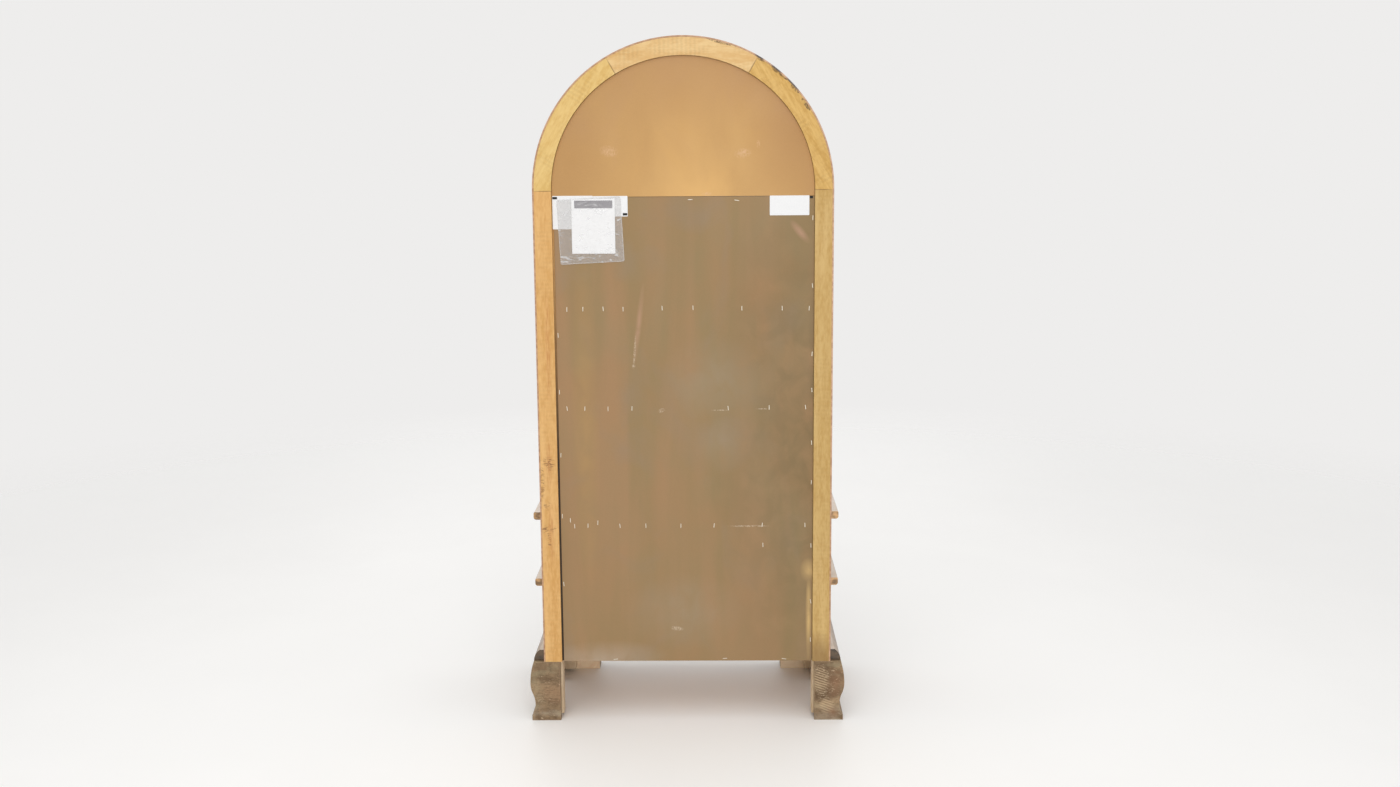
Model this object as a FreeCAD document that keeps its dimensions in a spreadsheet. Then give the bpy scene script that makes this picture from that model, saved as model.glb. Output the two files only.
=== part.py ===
import FreeCAD, Part
import os
import re

import Sketcher
from FreeCAD import Rotation, Vector

# An arch-topped display case: a frame of posts and arches with thin skins and linings, fixed shelves,
# two arched glazed doors over two drawers, and ogee bracket feet.
# Millimetres, +Z up. The front faces -Y, the back +Y, and right is +X for someone facing the front.
# The origin is on the floor, under the middle of the overall box.

SIZES = [
    # the case
    ("case_width", 762, "across the side skins"),
    ("case_depth", 406, "front frame face to back frame face"),
    ("spring_height", 1406, "floor to the centre of the arch"),
    ("post_width", 56, "posts and arches, seen from the front"),
    ("front_post_depth", 45, "front posts, arch and rails, front to back"),
    ("back_post_depth", 40, "back posts and arch, front to back"),
    ("skin_thickness", 4, "outer skins"),
    ("lining_thickness", 4, "inner linings"),
    ("glue_line", 0.2, "between curved faces that are glued"),
    ("rabbet_width", 12, "ledge that the back panels lie on"),
    ("rabbet_depth", 10, "ledge below the back face of the frame"),
    ("back_panel_thickness", 4, "both back panels"),
    ("panel_fit", 1, "panel edge to rabbet, and panel to panel"),
    ("panel_shortfall", 4, "the lower panel is cut short on the right"),
    ("bottom_thickness", 18, "board under the lower drawer"),
    ("side_rail_height", 40, "rails between front and back posts"),
    # the shelves
    ("shelf_thickness", 20, "fixed shelves"),
    ("shelf_setback", 55, "front frame face to shelf front"),
    ("shelf_nose", 3, "rounding of the shelf front"),
    ("lower_shelf_top", 849, "above the floor"),
    ("middle_shelf_top", 1115, "above the floor"),
    ("upper_shelf_drop", 6, "top below the centre of the arch"),
    ("cleat_width", 12, "strips under the shelf ends"),
    ("cleat_height", 18, "strips under the shelf ends"),
    ("cleat_setback", 15, "behind the shelf front"),
    # the deck and the rails of the drawers
    ("deck_top", 571, "floor of the glazed part"),
    ("deck_thickness", 20, "floor of the glazed part"),
    ("batten_height", 40, "strip under the back edge of the deck"),
    ("batten_thickness", 20, "strip under the back edge of the deck"),
    ("waist_rail_height", 30, "front rail under the doors"),
    ("drawer_rail_top", 391, "front rail between the drawers"),
    ("drawer_rail_height", 20, "front rail between the drawers"),
    # the mouldings
    ("moulding_height", 20, "waist and middle mouldings"),
    ("moulding_projection", 19, "beyond the skins and the front frame"),
    ("moulding_top_nose", 4, "rounding of the upper edge"),
    ("moulding_bottom_nose", 7, "rounding of the lower edge"),
    ("moulding_stop", 10, "short of the back face"),
    ("base_moulding_height", 30, "also the height of the base rail"),
    ("base_moulding_projection", 28, "at its foot"),
    ("base_moulding_lip", 12, "flat ledge on its top"),
    # the feet
    ("foot_height", 164, "floor to the underside of the case"),
    ("foot_bulge", 38, "crown of the ogee beyond the case"),
    ("foot_top_out", 28, "top of the ogee beyond the case"),
    ("foot_waist_out", 25.5, "hollow of the ogee beyond the case"),
    ("foot_toe_out", 35, "toe beyond the case"),
    ("foot_crown_height", 103, "crown above the floor"),
    ("foot_waist_height", 45, "hollow above the floor"),
    ("foot_toe_height", 14, "upright edge of the toe"),
    ("bracket_inset", 13, "inner face of a bracket inside the case corner"),
    ("bracket_reach", 115, "bracket at the floor, inward from the case corner"),
    ("bracket_top_reach", 155, "bracket at its top, inward from the case corner"),
    ("bracket_straight", 90, "height of the upright inner end"),
    ("bracket_ear", 18, "depth of the inner end at its top"),
    ("rear_board_reach", 42, "flat back board, inward from the case corner"),
    ("rear_board_thickness", 20, "flat back board of a back foot"),
    ("block_size", 35, "square glue blocks inside the feet"),
    ("block_clear", 12, "glue blocks above the floor"),
    # the doors
    ("door_thickness", 22, "stiles and rails"),
    ("door_gap", 3, "round each door and between the two"),
    ("stile_width", 45, "stiles and arched rails"),
    ("door_rail_height", 60, "bottom rails"),
    ("glass_lip", 10, "wood in front of the glass"),
    ("glass_rebate", 8, "overlap behind the stiles and rails"),
    ("glass_thickness", 4, "panes"),
    ("glass_fit", 1, "pane edge to rebate"),
    ("hinge_end", 106, "middle of an end hinge from the end of its stile"),
    ("hinge_height", 60, "leaves and knuckles"),
    ("leaf_width", 20, "leaves, front to back"),
    ("leaf_thickness", 1.4, "leaves"),
    ("knuckle_radius", 4, "outside of the knuckles"),
    ("knuckle_clear", 0.2, "knuckles to the front face"),
    ("knuckle_fit", 0.15, "end clearance of a knuckle"),
    ("pin_radius", 2, "hinge pins"),
    ("pin_fit", 0.05, "pin to knuckle, on the radius"),
    ("door_knob_height", 985, "above the floor"),
    ("catch_width", 60, "magnetic catch"),
    ("catch_height", 14, "magnetic catch"),
    ("catch_gap", 1.2, "catch to the doors"),
    ("catch_seat", 25, "length under the shelf"),
    ("catch_bevel", 3, "front corners of the catch"),
    # the drawers
    ("drawer_gap", 2.5, "round each drawer front"),
    ("drawer_front_thickness", 20, "drawer fronts"),
    ("drawer_front_bevel", 3, "round the face of a drawer front"),
    ("drawer_back_gap", 6, "box to the strip under the deck"),
    ("drawer_box_lift", 8, "box bottom above the front's lower edge"),
    ("drawer_box_drop", 14, "box top below the front's upper edge"),
    ("drawer_side_thickness", 14, "sides and backs"),
    ("drawer_side_clearance", 4, "side to post"),
    ("drawer_bottom_thickness", 5, "bottoms"),
    ("bottom_groove_depth", 6, "in the drawer sides"),
    ("bottom_groove_rise", 10, "groove above the lower edge of a side"),
    ("runner_height", 14, "wooden runners"),
    ("runner_engagement", 6.3, "runner inside the groove of a drawer side"),
    ("runner_fit", 0.3, "runner to groove"),
    ("runner_setback", 2, "runner behind the drawer front"),
    ("drawer_knob_spread", 155, "from the middle to each knob"),
    # the knobs
    ("knob_radius", 15, "head, to its corners"),
    ("knob_length", 27, "face to tip"),
    ("knob_neck_radius", 6, "neck, to its corners"),
    ("knob_base_radius", 10, "foot against the wood, to its corners"),
    ("knob_base_thickness", 3, "foot against the wood"),
    ("knob_head", 15, "thickness of the head"),
    ("knob_bevel", 5, "both ends of the head"),
    # the pouch on the back
    ("pouch_width", 165, "clear pouch"),
    ("pouch_height", 163, "clear pouch"),
    ("pouch_side_gap", 14.5, "to the edge of the back panel"),
    ("pouch_drop", 2, "below the joint of the back panels"),
    ("pouch_thickness", 3, "clear pouch"),
    ("pouch_clear", 0.3, "pouch to panel"),
]

ALIASES = {alias for alias, _, _ in SIZES}
CUT_MARGIN = 1
NO_LENGTH = "0"
ARCH_SEGMENTS = ("right", "top", "left")
SEGMENT_ANGLE = 180 / len(ARCH_SEGMENTS)
HINGES_PER_DOOR = 3
KNUCKLES = 3
KNOB_SIDES = 8

doc = FreeCAD.newDocument("display_case")
sheet = doc.addObject("Spreadsheet::Sheet", "Sizes")
for row, (alias, number, meaning) in enumerate(SIZES, start=1):
    sheet.set(f"A{row}", meaning)
    sheet.set(f"B{row}", str(number))
    sheet.setAlias(f"B{row}", alias)
doc.recompute()

nodes = []

# Places that many pieces share, as formulas of the sizes.
HALF = "(case_width/2)"
BACK = "((case_depth+foot_bulge)/2)"
FRONT = f"({BACK}-case_depth)"
FRAME = f"({HALF}-skin_thickness)"
OPENING = f"({FRAME}-post_width)"
FRONT_FRAME_REAR = f"({FRONT}+front_post_depth)"
BACK_FRAME_FRONT = f"({BACK}-back_post_depth)"
LEDGE = f"({BACK}-rabbet_depth)"
PANEL_EDGE = f"({OPENING}+rabbet_width-panel_fit)"
SHELF_TOPS = {
    "lower": "lower_shelf_top",
    "middle": "middle_shelf_top",
    "upper": "(spring_height-upper_shelf_drop)",
}
PANEL_JOINT = f"({SHELF_TOPS['upper']}-shelf_thickness/2)"
DECK_UNDERSIDE = "(deck_top-deck_thickness)"
BASE_RAIL_TOP = "(foot_height+base_moulding_height)"
DRAWER_RAIL_BOTTOM = "(drawer_rail_top-drawer_rail_height)"
WAIST_RAIL_BOTTOM = "(deck_top-waist_rail_height)"
DOOR_EDGE = f"({OPENING}-door_gap)"
DOOR_INNER = f"({DOOR_EDGE}-stile_width)"
MEETING = "(door_gap/2)"
MEETING_INNER = f"({MEETING}+stile_width)"
DOOR_BOTTOM = "(deck_top+door_gap)"
DOOR_RAIL_TOP = f"({DOOR_BOTTOM}+door_rail_height)"
DOOR_REAR = f"({FRONT}+door_thickness)"
DRAWER_BOX_FRONT = f"({FRONT}+drawer_front_thickness)"
DRAWER_BOX_REAR = f"({LEDGE}-batten_thickness-drawer_back_gap)"
GLASS_FRONT = f"({FRONT}+glass_lip)"
GLASS_REAR = f"({GLASS_FRONT}+glass_thickness)"


def formula(text):
    """Writes a formula of size names as an expression that reads the sheet."""
    return re.sub(r"[a-z]\w*", lambda word: f"Sizes.{word[0]}" if word[0] in ALIASES else word[0], str(text))


def value(text):
    result = sheet.evalExpression(formula(text))
    return getattr(result, "Value", result)


def node(piece):
    """Marks a piece as one of the part's own, written to a file of its label."""
    nodes.append(piece)
    return piece


def origin_plane(body, role):
    return next(feature for feature in body.Origin.OriginFeatures if feature.Role == role)


def arc(radius, turn):
    """Makes the side after a corner an arc; a turn of 1 bends to the left, -1 to the right."""
    return ("arc", radius, turn)


def side_geometry(start, end, bend):
    if bend is None:
        return Part.LineSegment(start, end)
    radius, turn = value(bend[1]), bend[2]
    chord = end - start
    left = Vector(-chord.y, chord.x, 0).normalize()
    offset = max(radius ** 2 - (chord.Length / 2) ** 2, 0) ** 0.5
    centre = start + chord / 2 + left * (offset * turn)
    circle = Part.Circle(centre, Vector(0, 0, 1), radius)
    first, last = (start, end) if turn > 0 else (end, start)
    return Part.ArcOfCircle(circle, circle.parameter(first), circle.parameter(last))


def bind_corner(sketch, side, vertex, number, place):
    """Holds a corner at its place by formulas."""
    for kind, axis, name, text in (("DistanceX", -2, "x", place[0]), ("DistanceY", -1, "y", place[1])):
        if text == NO_LENGTH:
            sketch.addConstraint(Sketcher.Constraint("PointOnObject", side, vertex, axis))
            continue
        index = sketch.addConstraint(Sketcher.Constraint(kind, -1, 1, side, vertex, value(text)))
        sketch.renameConstraint(index, f"{name}{number}")
        sketch.setExpression(f"Constraints.{name}{number}", formula(text))


def draw(sketch, outline):
    """Draws a closed outline of corners, with an arc after a corner where one is given."""
    corners = [item for item in outline if item[0] != "arc"]
    bends = [None] * len(corners)
    count = 0
    for item in outline:
        if item[0] == "arc":
            bends[count - 1] = item
        else:
            count += 1
    points = [Vector(value(x), value(y), 0) for x, y in corners]
    sides = []
    for number, start in enumerate(points):
        end = points[(number + 1) % len(points)]
        sides.append(sketch.addGeometry(side_geometry(start, end, bends[number]), False))
    ends = [(2, 1) if bend and bend[2] < 0 else (1, 2) for bend in bends]
    for number, side in enumerate(sides):
        following = (number + 1) % len(sides)
        sketch.addConstraint(
            Sketcher.Constraint("Coincident", side, ends[number][1], sides[following], ends[following][0])
        )
        bind_corner(sketch, side, ends[number][0], number, corners[number])
        if bends[number]:
            index = sketch.addConstraint(Sketcher.Constraint("Radius", side, value(bends[number][1])))
            sketch.renameConstraint(index, f"bend{number}")
            sketch.setExpression(f"Constraints.bend{number}", formula(bends[number][1]))


def draw_circle(sketch, x, y, radius):
    centre = Vector(value(x), value(y), 0)
    side = sketch.addGeometry(Part.Circle(centre, Vector(0, 0, 1), value(radius)), False)
    bind_corner(sketch, side, 3, 0, (x, y))
    index = sketch.addConstraint(Sketcher.Constraint("Radius", side, value(radius)))
    sketch.renameConstraint(index, "radius")
    sketch.setExpression("Constraints.radius", formula(radius))


def sketch_on(body, plane, level, outlines):
    """Draws outlines on a plane of the body, moved along the axis that the plane's name leaves out."""
    sketch = body.newObject("Sketcher::SketchObject", f"{body.Label}_sketch")
    sketch.AttachmentSupport = (origin_plane(body, f"{plane}_Plane"), [""])
    sketch.MapMode = "FlatFace"
    if level != NO_LENGTH:
        sign = "-" if plane == "XZ" else ""
        sketch.setExpression("AttachmentOffset.Base.z", formula(f"{sign}({level})"))
    for outline in outlines:
        if outline[0] == "circle":
            draw_circle(sketch, *outline[1:])
        else:
            draw(sketch, outline)
    return sketch


def new_body(name):
    body = doc.addObject("PartDesign::Body", name)
    body.Label = name
    return body


def add_pad(body, plane, outline, low, high):
    """Pads an outline between two levels of the axis square to its plane."""
    sketch = sketch_on(body, plane, high if plane == "XZ" else low, [outline])
    pad = body.newObject("PartDesign::Pad", f"{body.Label}_pad")
    pad.Profile = sketch
    pad.setExpression("Length", formula(f"({high})-({low})"))
    doc.recompute()
    return pad


def prism(name, plane, outline, low, high):
    body = new_body(name)
    add_pad(body, plane, outline, low, high)
    return body


def add_pocket(body, plane, outlines, low, high):
    """Cuts outlines out of a body between two levels, and makes sure that something went."""
    before = body.Shape.Volume
    sketch = sketch_on(body, plane, low if plane == "XZ" else high, outlines)
    pocket = body.newObject("PartDesign::Pocket", f"{body.Label}_pocket")
    pocket.Profile = sketch
    pocket.setExpression("Length", formula(f"({high})-({low})"))
    doc.recompute()
    if not body.Shape.Volume < before:
        raise RuntimeError(f"{body.Label}: a pocket cuts nothing")


def bevel(body, level, size):
    """Bevels the edges of a body, as it is so far, that lie at a level of the Y axis."""
    last = body.Tip
    place = value(level)
    rim = [
        f"Edge{number}"
        for number, edge in enumerate(last.Shape.Edges, start=1)
        if all(abs(vertex.Y - place) < CUT_MARGIN for vertex in edge.Vertexes)
    ]
    cut = body.newObject("PartDesign::Chamfer", f"{body.Label}_bevel")
    cut.Base = (last, rim)
    cut.setExpression("Size", formula(size))
    doc.recompute()


def turned(name, outline, angle, start=0):
    """Turns an outline of radius and Y about the arch's axis, upward from the right."""
    body = new_body(name)
    sketch = sketch_on(body, "XY", NO_LENGTH, [outline])
    turn = body.newObject("PartDesign::Revolution", f"{name}_turn")
    turn.Profile = sketch
    turn.ReferenceAxis = (sketch, ["V_Axis"])
    turn.setExpression("Angle", formula(angle))
    turn.Reversed = True
    body.Placement.Rotation = Rotation(Vector(0, -1, 0), start)
    body.setExpression("Placement.Base.z", formula("spring_height"))
    doc.recompute()
    return body


def board(name, x, y, z):
    """A plain board between two places on each axis."""
    box = doc.addObject("Part::Box", name)
    box.Label = name
    for size, axis, (low, high) in (("Length", "x", x), ("Width", "y", y), ("Height", "z", z)):
        box.setExpression(size, formula(f"({high})-({low})"))
        box.setExpression(f"Placement.Base.{axis}", formula(low))
    return box


def mirrored(name, source):
    copy = doc.addObject("Part::Mirroring", name)
    copy.Label = name
    copy.Source = source
    copy.Base = Vector(0, 0, 0)
    copy.Normal = Vector(1, 0, 0)
    return copy


def group(name, pieces):
    compound = doc.addObject("Part::Compound", name)
    compound.Label = name
    compound.Links = pieces
    return compound


def rectangle(first, second):
    (left, right), (low, high) = first, second
    return [(left, low), (right, low), (right, high), (left, high)]


def both_ways(extent):
    return (f"-{extent}", extent)


def both_sides(name, piece):
    """Keeps a right-hand piece and its mirror image as two nodes."""
    piece.Label = f"{name}_right"
    node(piece)
    node(mirrored(f"{name}_left", piece))


def build_frames():
    """Posts and arches: the front ones plain, the back ones with a ledge for the back panels."""
    front_section = rectangle((OPENING, FRAME), (FRONT, FRONT_FRAME_REAR))
    lip = f"({OPENING}+rabbet_width)"
    back_section = [
        (OPENING, BACK_FRAME_FRONT),
        (FRAME, BACK_FRAME_FRONT),
        (FRAME, BACK),
        (lip, BACK),
        (lip, LEDGE),
        (OPENING, LEDGE),
    ]
    for name, section in (("front", front_section), ("back", back_section)):
        post = prism(f"{name}_post_right", "XY", section, "foot_height", "spring_height")
        both_sides(f"{name}_post", post)
    for number, place in enumerate(ARCH_SEGMENTS):
        start = number * SEGMENT_ANGLE
        node(turned(f"back_arch_{place}", back_section, SEGMENT_ANGLE, start))
    segments = []
    for number, place in enumerate(ARCH_SEGMENTS):
        start = number * SEGMENT_ANGLE
        segments.append(turned(f"front_arch_{place}", front_section, SEGMENT_ANGLE, start))
    node(group("front_arch", segments))


def build_skins():
    """Finished skins outside the frames, and linings flush with the frames inside."""
    depth = (FRONT, BACK)
    both_sides("side_skin", board("side_skin_right", (FRAME, HALF), depth, ("foot_height", "spring_height")))
    node(turned("arch_skin", rectangle((f"{FRAME}+glue_line", HALF), depth), 180))
    lining = (OPENING, f"{OPENING}+lining_thickness")
    between = (FRONT_FRAME_REAR, BACK_FRAME_FRONT)
    right = board("side_lining_right", lining, between, ("deck_top", "spring_height"))
    node(group("side_linings", [right, mirrored("side_lining_left", right)]))
    node(turned("arch_lining", rectangle(lining, between), 180))


def build_inner_rails():
    """Rails that tie the front frame to the back frame, and the batten behind the upper drawer."""
    bottom_top = "(foot_height+bottom_thickness)"
    levels = [
        (bottom_top, f"{bottom_top}+side_rail_height"),
        (f"{DECK_UNDERSIDE}-side_rail_height", DECK_UNDERSIDE),
        ("spring_height-side_rail_height", "spring_height"),
    ]
    rails = []
    for number, level in enumerate(levels):
        across = (f"{OPENING}+lining_thickness", FRAME)
        rail = board(f"side_rail_right_{number}", across, (FRONT_FRAME_REAR, BACK_FRAME_FRONT), level)
        rails += [rail, mirrored(f"side_rail_left_{number}", rail)]
    batten_level = (f"{DECK_UNDERSIDE}-batten_height", DECK_UNDERSIDE)
    batten_depth = (f"{LEDGE}-batten_thickness", LEDGE)
    rails.append(board("deck_batten", both_ways(OPENING), batten_depth, batten_level))
    node(group("inner_rails", rails))


def build_floors():
    """Bottom panel and deck, notched round the back posts and butting the front rails."""
    outline = [
        (f"-{FRAME}", FRONT_FRAME_REAR),
        (FRAME, FRONT_FRAME_REAR),
        (FRAME, BACK_FRAME_FRONT),
        (OPENING, BACK_FRAME_FRONT),
        (OPENING, LEDGE),
        (f"-{OPENING}", LEDGE),
        (f"-{OPENING}", BACK_FRAME_FRONT),
        (f"-{FRAME}", BACK_FRAME_FRONT),
    ]
    node(prism("bottom_panel", "XY", outline, "foot_height", "foot_height+bottom_thickness"))
    node(prism("deck", "XY", outline, DECK_UNDERSIDE, "deck_top"))


def build_shelves():
    """Fixed shelves with a rounded front edge, each on a pair of cleats."""
    nose = f"({FRONT}+shelf_setback)"
    cleats = []
    for place, top in SHELF_TOPS.items():
        under = f"({top}-shelf_thickness)"
        section = [
            (f"{nose}+shelf_nose", under),
            (LEDGE, under),
            (LEDGE, top),
            (f"{nose}+shelf_nose", top),
            arc("shelf_nose", 1),
            (nose, f"{top}-shelf_nose"),
            (nose, f"{under}+shelf_nose"),
            arc("shelf_nose", 1),
        ]
        node(prism(f"shelf_{place}", "YZ", section, *both_ways(OPENING)))
        across = (f"{OPENING}-cleat_width", OPENING)
        depth = (f"{nose}+cleat_setback", BACK_FRAME_FRONT)
        cleat = board(f"cleat_right_{place}", across, depth, (f"{under}-cleat_height", under))
        cleats += [cleat, mirrored(f"cleat_left_{place}", cleat)]
    node(group("shelf_cleats", cleats))


def build_back_panels():
    """Two thin panels on the ledge of the back frame, which meet on the edge of the upper shelf."""
    depth = (LEDGE, f"{LEDGE}+back_panel_thickness")
    across = (f"-{PANEL_EDGE}", f"{PANEL_EDGE}-panel_shortfall")
    node(board("back_panel_lower", across, depth, ("foot_height", PANEL_JOINT)))
    low = f"({PANEL_JOINT}+panel_fit)"
    outline = [
        (f"-{PANEL_EDGE}", low),
        (PANEL_EDGE, low),
        (PANEL_EDGE, "spring_height"),
        arc(PANEL_EDGE, 1),
        (NO_LENGTH, f"spring_height+{PANEL_EDGE}"),
        arc(PANEL_EDGE, 1),
        (f"-{PANEL_EDGE}", "spring_height"),
    ]
    node(prism("back_panel_upper", "XZ", outline, *depth))


def build_front_rails():
    """Rails of the front frame under the doors, between the drawers and at the base."""
    levels = {
        "waist_rail": (WAIST_RAIL_BOTTOM, "deck_top"),
        "drawer_rail": (DRAWER_RAIL_BOTTOM, "drawer_rail_top"),
        "base_rail": ("foot_height", BASE_RAIL_TOP),
    }
    for name, level in levels.items():
        node(board(name, both_ways(OPENING), (FRONT, FRONT_FRAME_REAR), level))


def at_side(section):
    """Turns a section of outward reach and height into one on the right-hand side."""
    return [item if item[0] == "arc" else (f"{HALF}+{item[0]}", item[1]) for item in section]


def at_front(section):
    """Turns a section of outward reach and height into one on the front, where outward is -Y."""
    return [
        arc(item[1], -item[2]) if item[0] == "arc" else (f"{FRONT}-{item[0]}", item[1]) for item in section
    ]


def cut_mitre(body, inward, outward, levels, waste, side=""):
    """Cuts the end of a length at 45 degrees at a front corner, on the side of the mitre named waste."""
    near = f"({inward}+{CUT_MARGIN})"
    far = f"({outward}+{CUT_MARGIN})"
    inner, outer = (f"{HALF}-{near}", f"{FRONT}+{near}"), (f"{HALF}+{far}", f"{FRONT}-{far}")
    corner = (outer[0], inner[1]) if waste == "side" else (inner[0], outer[1])
    triangle = [inner, outer, corner]
    low, high = levels
    placed = [(f"{side}({x})", y) for x, y in triangle]
    add_pocket(body, "XY", [placed], f"{low}-{CUT_MARGIN}", f"{high}+{CUT_MARGIN}")


def moulding(name, section, projection, levels):
    """Three mitred lengths: across the front, and back along each side."""
    end = f"({HALF}+{projection})"
    front = prism(f"{name}_front", "YZ", at_front(section), *both_ways(end))
    for side in ("", "-"):
        cut_mitre(front, NO_LENGTH, projection, levels, "side", side)
    right = prism(f"{name}_right", "XZ", at_side(section), f"{FRONT}-{projection}", f"{BACK}-moulding_stop")
    cut_mitre(right, NO_LENGTH, projection, levels, "front")
    node(group(name, [front, right, mirrored(f"{name}_left", right)]))


def build_mouldings():
    """Nosed mouldings at the waist and between the drawers, and a quarter-round base."""
    for name, top in (("waist_moulding", "deck_top"), ("middle_moulding", "drawer_rail_top")):
        low = f"({top}-moulding_height)"
        section = [
            (NO_LENGTH, low),
            ("(moulding_projection-moulding_bottom_nose)", low),
            arc("moulding_bottom_nose", 1),
            ("moulding_projection", f"{low}+moulding_bottom_nose"),
            ("moulding_projection", f"{top}-moulding_top_nose"),
            arc("moulding_top_nose", 1),
            ("(moulding_projection-moulding_top_nose)", top),
            (NO_LENGTH, top),
        ]
        moulding(name, section, "moulding_projection", (low, top))
    run = "(base_moulding_projection-base_moulding_lip)"
    section = [
        (NO_LENGTH, "foot_height"),
        ("base_moulding_projection", "foot_height"),
        arc(f"(({run}^2+base_moulding_height^2)/(2*{run}))", 1),
        ("base_moulding_lip", BASE_RAIL_TOP),
        (NO_LENGTH, BASE_RAIL_TOP),
    ]
    moulding("base_moulding", section, "base_moulding_projection", ("foot_height", BASE_RAIL_TOP))


def ogee(inner):
    """Section of a foot: upright toe, hollow, crown and top, drawn as tangent arcs."""
    swing = "(foot_bulge-foot_waist_out)"
    rise = "(foot_crown_height-foot_waist_height)"
    half_swing = f"(({swing}^2+{rise}^2)/(4*{swing}))"
    toe_run = "(foot_toe_out-foot_waist_out)"
    toe_rise = "(foot_waist_height-foot_toe_height)"
    top_run = "(foot_bulge-foot_top_out)"
    top_rise = "(foot_height-foot_crown_height)"
    return [
        (inner, NO_LENGTH),
        ("foot_toe_out", NO_LENGTH),
        ("foot_toe_out", "foot_toe_height"),
        arc(f"(({toe_run}^2+{toe_rise}^2)/(2*{toe_run}))", -1),
        ("foot_waist_out", "foot_waist_height"),
        arc(half_swing, -1),
        (f"(foot_waist_out+{swing}/2)", f"foot_waist_height+{rise}/2"),
        arc(half_swing, 1),
        ("foot_bulge", "foot_crown_height"),
        arc(f"(({top_run}^2+{top_rise}^2)/(2*{top_run}))", 1),
        ("foot_top_out", "foot_height"),
        (inner, "foot_height"),
    ]


def cut_scroll(body, plane, corner, way, low, high):
    """Cuts the inner end of a bracket: upright from the floor, then curving inward to an ear."""
    run = "(bracket_top_reach-bracket_reach)"
    rise = "(foot_height-bracket_ear-bracket_straight)"
    turn = 1 if way == "-" else -1
    ear = "foot_height-bracket_ear"
    beyond = f"{corner}{way}(bracket_top_reach+{CUT_MARGIN})"
    outline = [
        (beyond, f"-{CUT_MARGIN}"),
        (f"{corner}{way}bracket_reach", f"-{CUT_MARGIN}"),
        (f"{corner}{way}bracket_reach", "bracket_straight"),
        arc(f"(({run}^2+{rise}^2)/(2*{run}))", turn),
        (f"{corner}{way}bracket_top_reach", ear),
        (beyond, ear),
    ]
    add_pocket(body, plane, [outline], f"{low}-{CUT_MARGIN}", f"{high}+{CUT_MARGIN}")


def build_front_feet():
    """Two ogee brackets mitred at the corner."""
    levels = (NO_LENGTH, "foot_height")
    section = ogee("-bracket_inset")
    inner, outer = f"{HALF}-bracket_inset", f"{HALF}+foot_bulge"
    front = prism("front_foot_front", "YZ", at_front(section), f"{HALF}-bracket_top_reach", outer)
    cut_scroll(front, "XZ", HALF, "-", f"{FRONT}-foot_bulge", f"{FRONT}+bracket_inset")
    cut_mitre(front, "bracket_inset", "foot_bulge", levels, "side")
    reach = (f"{FRONT}-foot_bulge", f"{FRONT}+bracket_top_reach")
    side = prism("front_foot_side", "XZ", at_side(section), *reach)
    cut_scroll(side, "YZ", FRONT, "+", inner, outer)
    cut_mitre(side, "bracket_inset", "foot_bulge", levels, "front")
    both_sides("foot_front", group("foot_front_right", [front, side]))


def build_back_feet():
    """An ogee bracket along the side, closed at the back by a flat board of the same outline."""
    join = f"({BACK}-rear_board_thickness)"
    inner, outer = f"{HALF}-bracket_inset", f"{HALF}+foot_bulge"
    side = prism("back_foot_side", "XZ", at_side(ogee("-bracket_inset")), f"{BACK}-bracket_top_reach", join)
    cut_scroll(side, "YZ", BACK, "-", inner, outer)
    rear = prism("back_foot_rear", "XZ", at_side(ogee("-rear_board_reach")), join, BACK)
    both_sides("foot_back", group("foot_back_right", [side, rear]))


def build_foot_blocks():
    """Square glue blocks in the inner corners of the feet."""
    across = (f"{HALF}-bracket_inset-block_size", f"{HALF}-bracket_inset")
    front_face = f"({FRONT}+bracket_inset)"
    rear_face = f"({BACK}-rear_board_thickness)"
    depths = {
        "front": (front_face, f"{front_face}+block_size"),
        "back": (f"{rear_face}-block_size", rear_face),
    }
    blocks = []
    for place, depth in depths.items():
        block = board(f"block_{place}_right", across, depth, ("block_clear", "foot_height"))
        blocks += [block, mirrored(f"block_{place}_left", block)]
    node(group("foot_blocks", blocks))


def build_catch():
    """Magnetic catch under the front edge of the upper shelf, behind both meeting stiles."""
    top = f"({SHELF_TOPS['upper']}-shelf_thickness)"
    low = f"({top}-catch_height)"
    nose = f"({DOOR_REAR}+catch_gap)"
    rear = f"({FRONT}+shelf_setback+catch_seat)"
    section = [
        (nose, f"{low}+catch_bevel"),
        (f"{nose}+catch_bevel", low),
        (rear, low),
        (rear, top),
        (f"{nose}+catch_bevel", top),
        (nose, f"{top}-catch_bevel"),
    ]
    node(prism("door_catch", "YZ", section, *both_ways("(catch_width/2)")))


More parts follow.
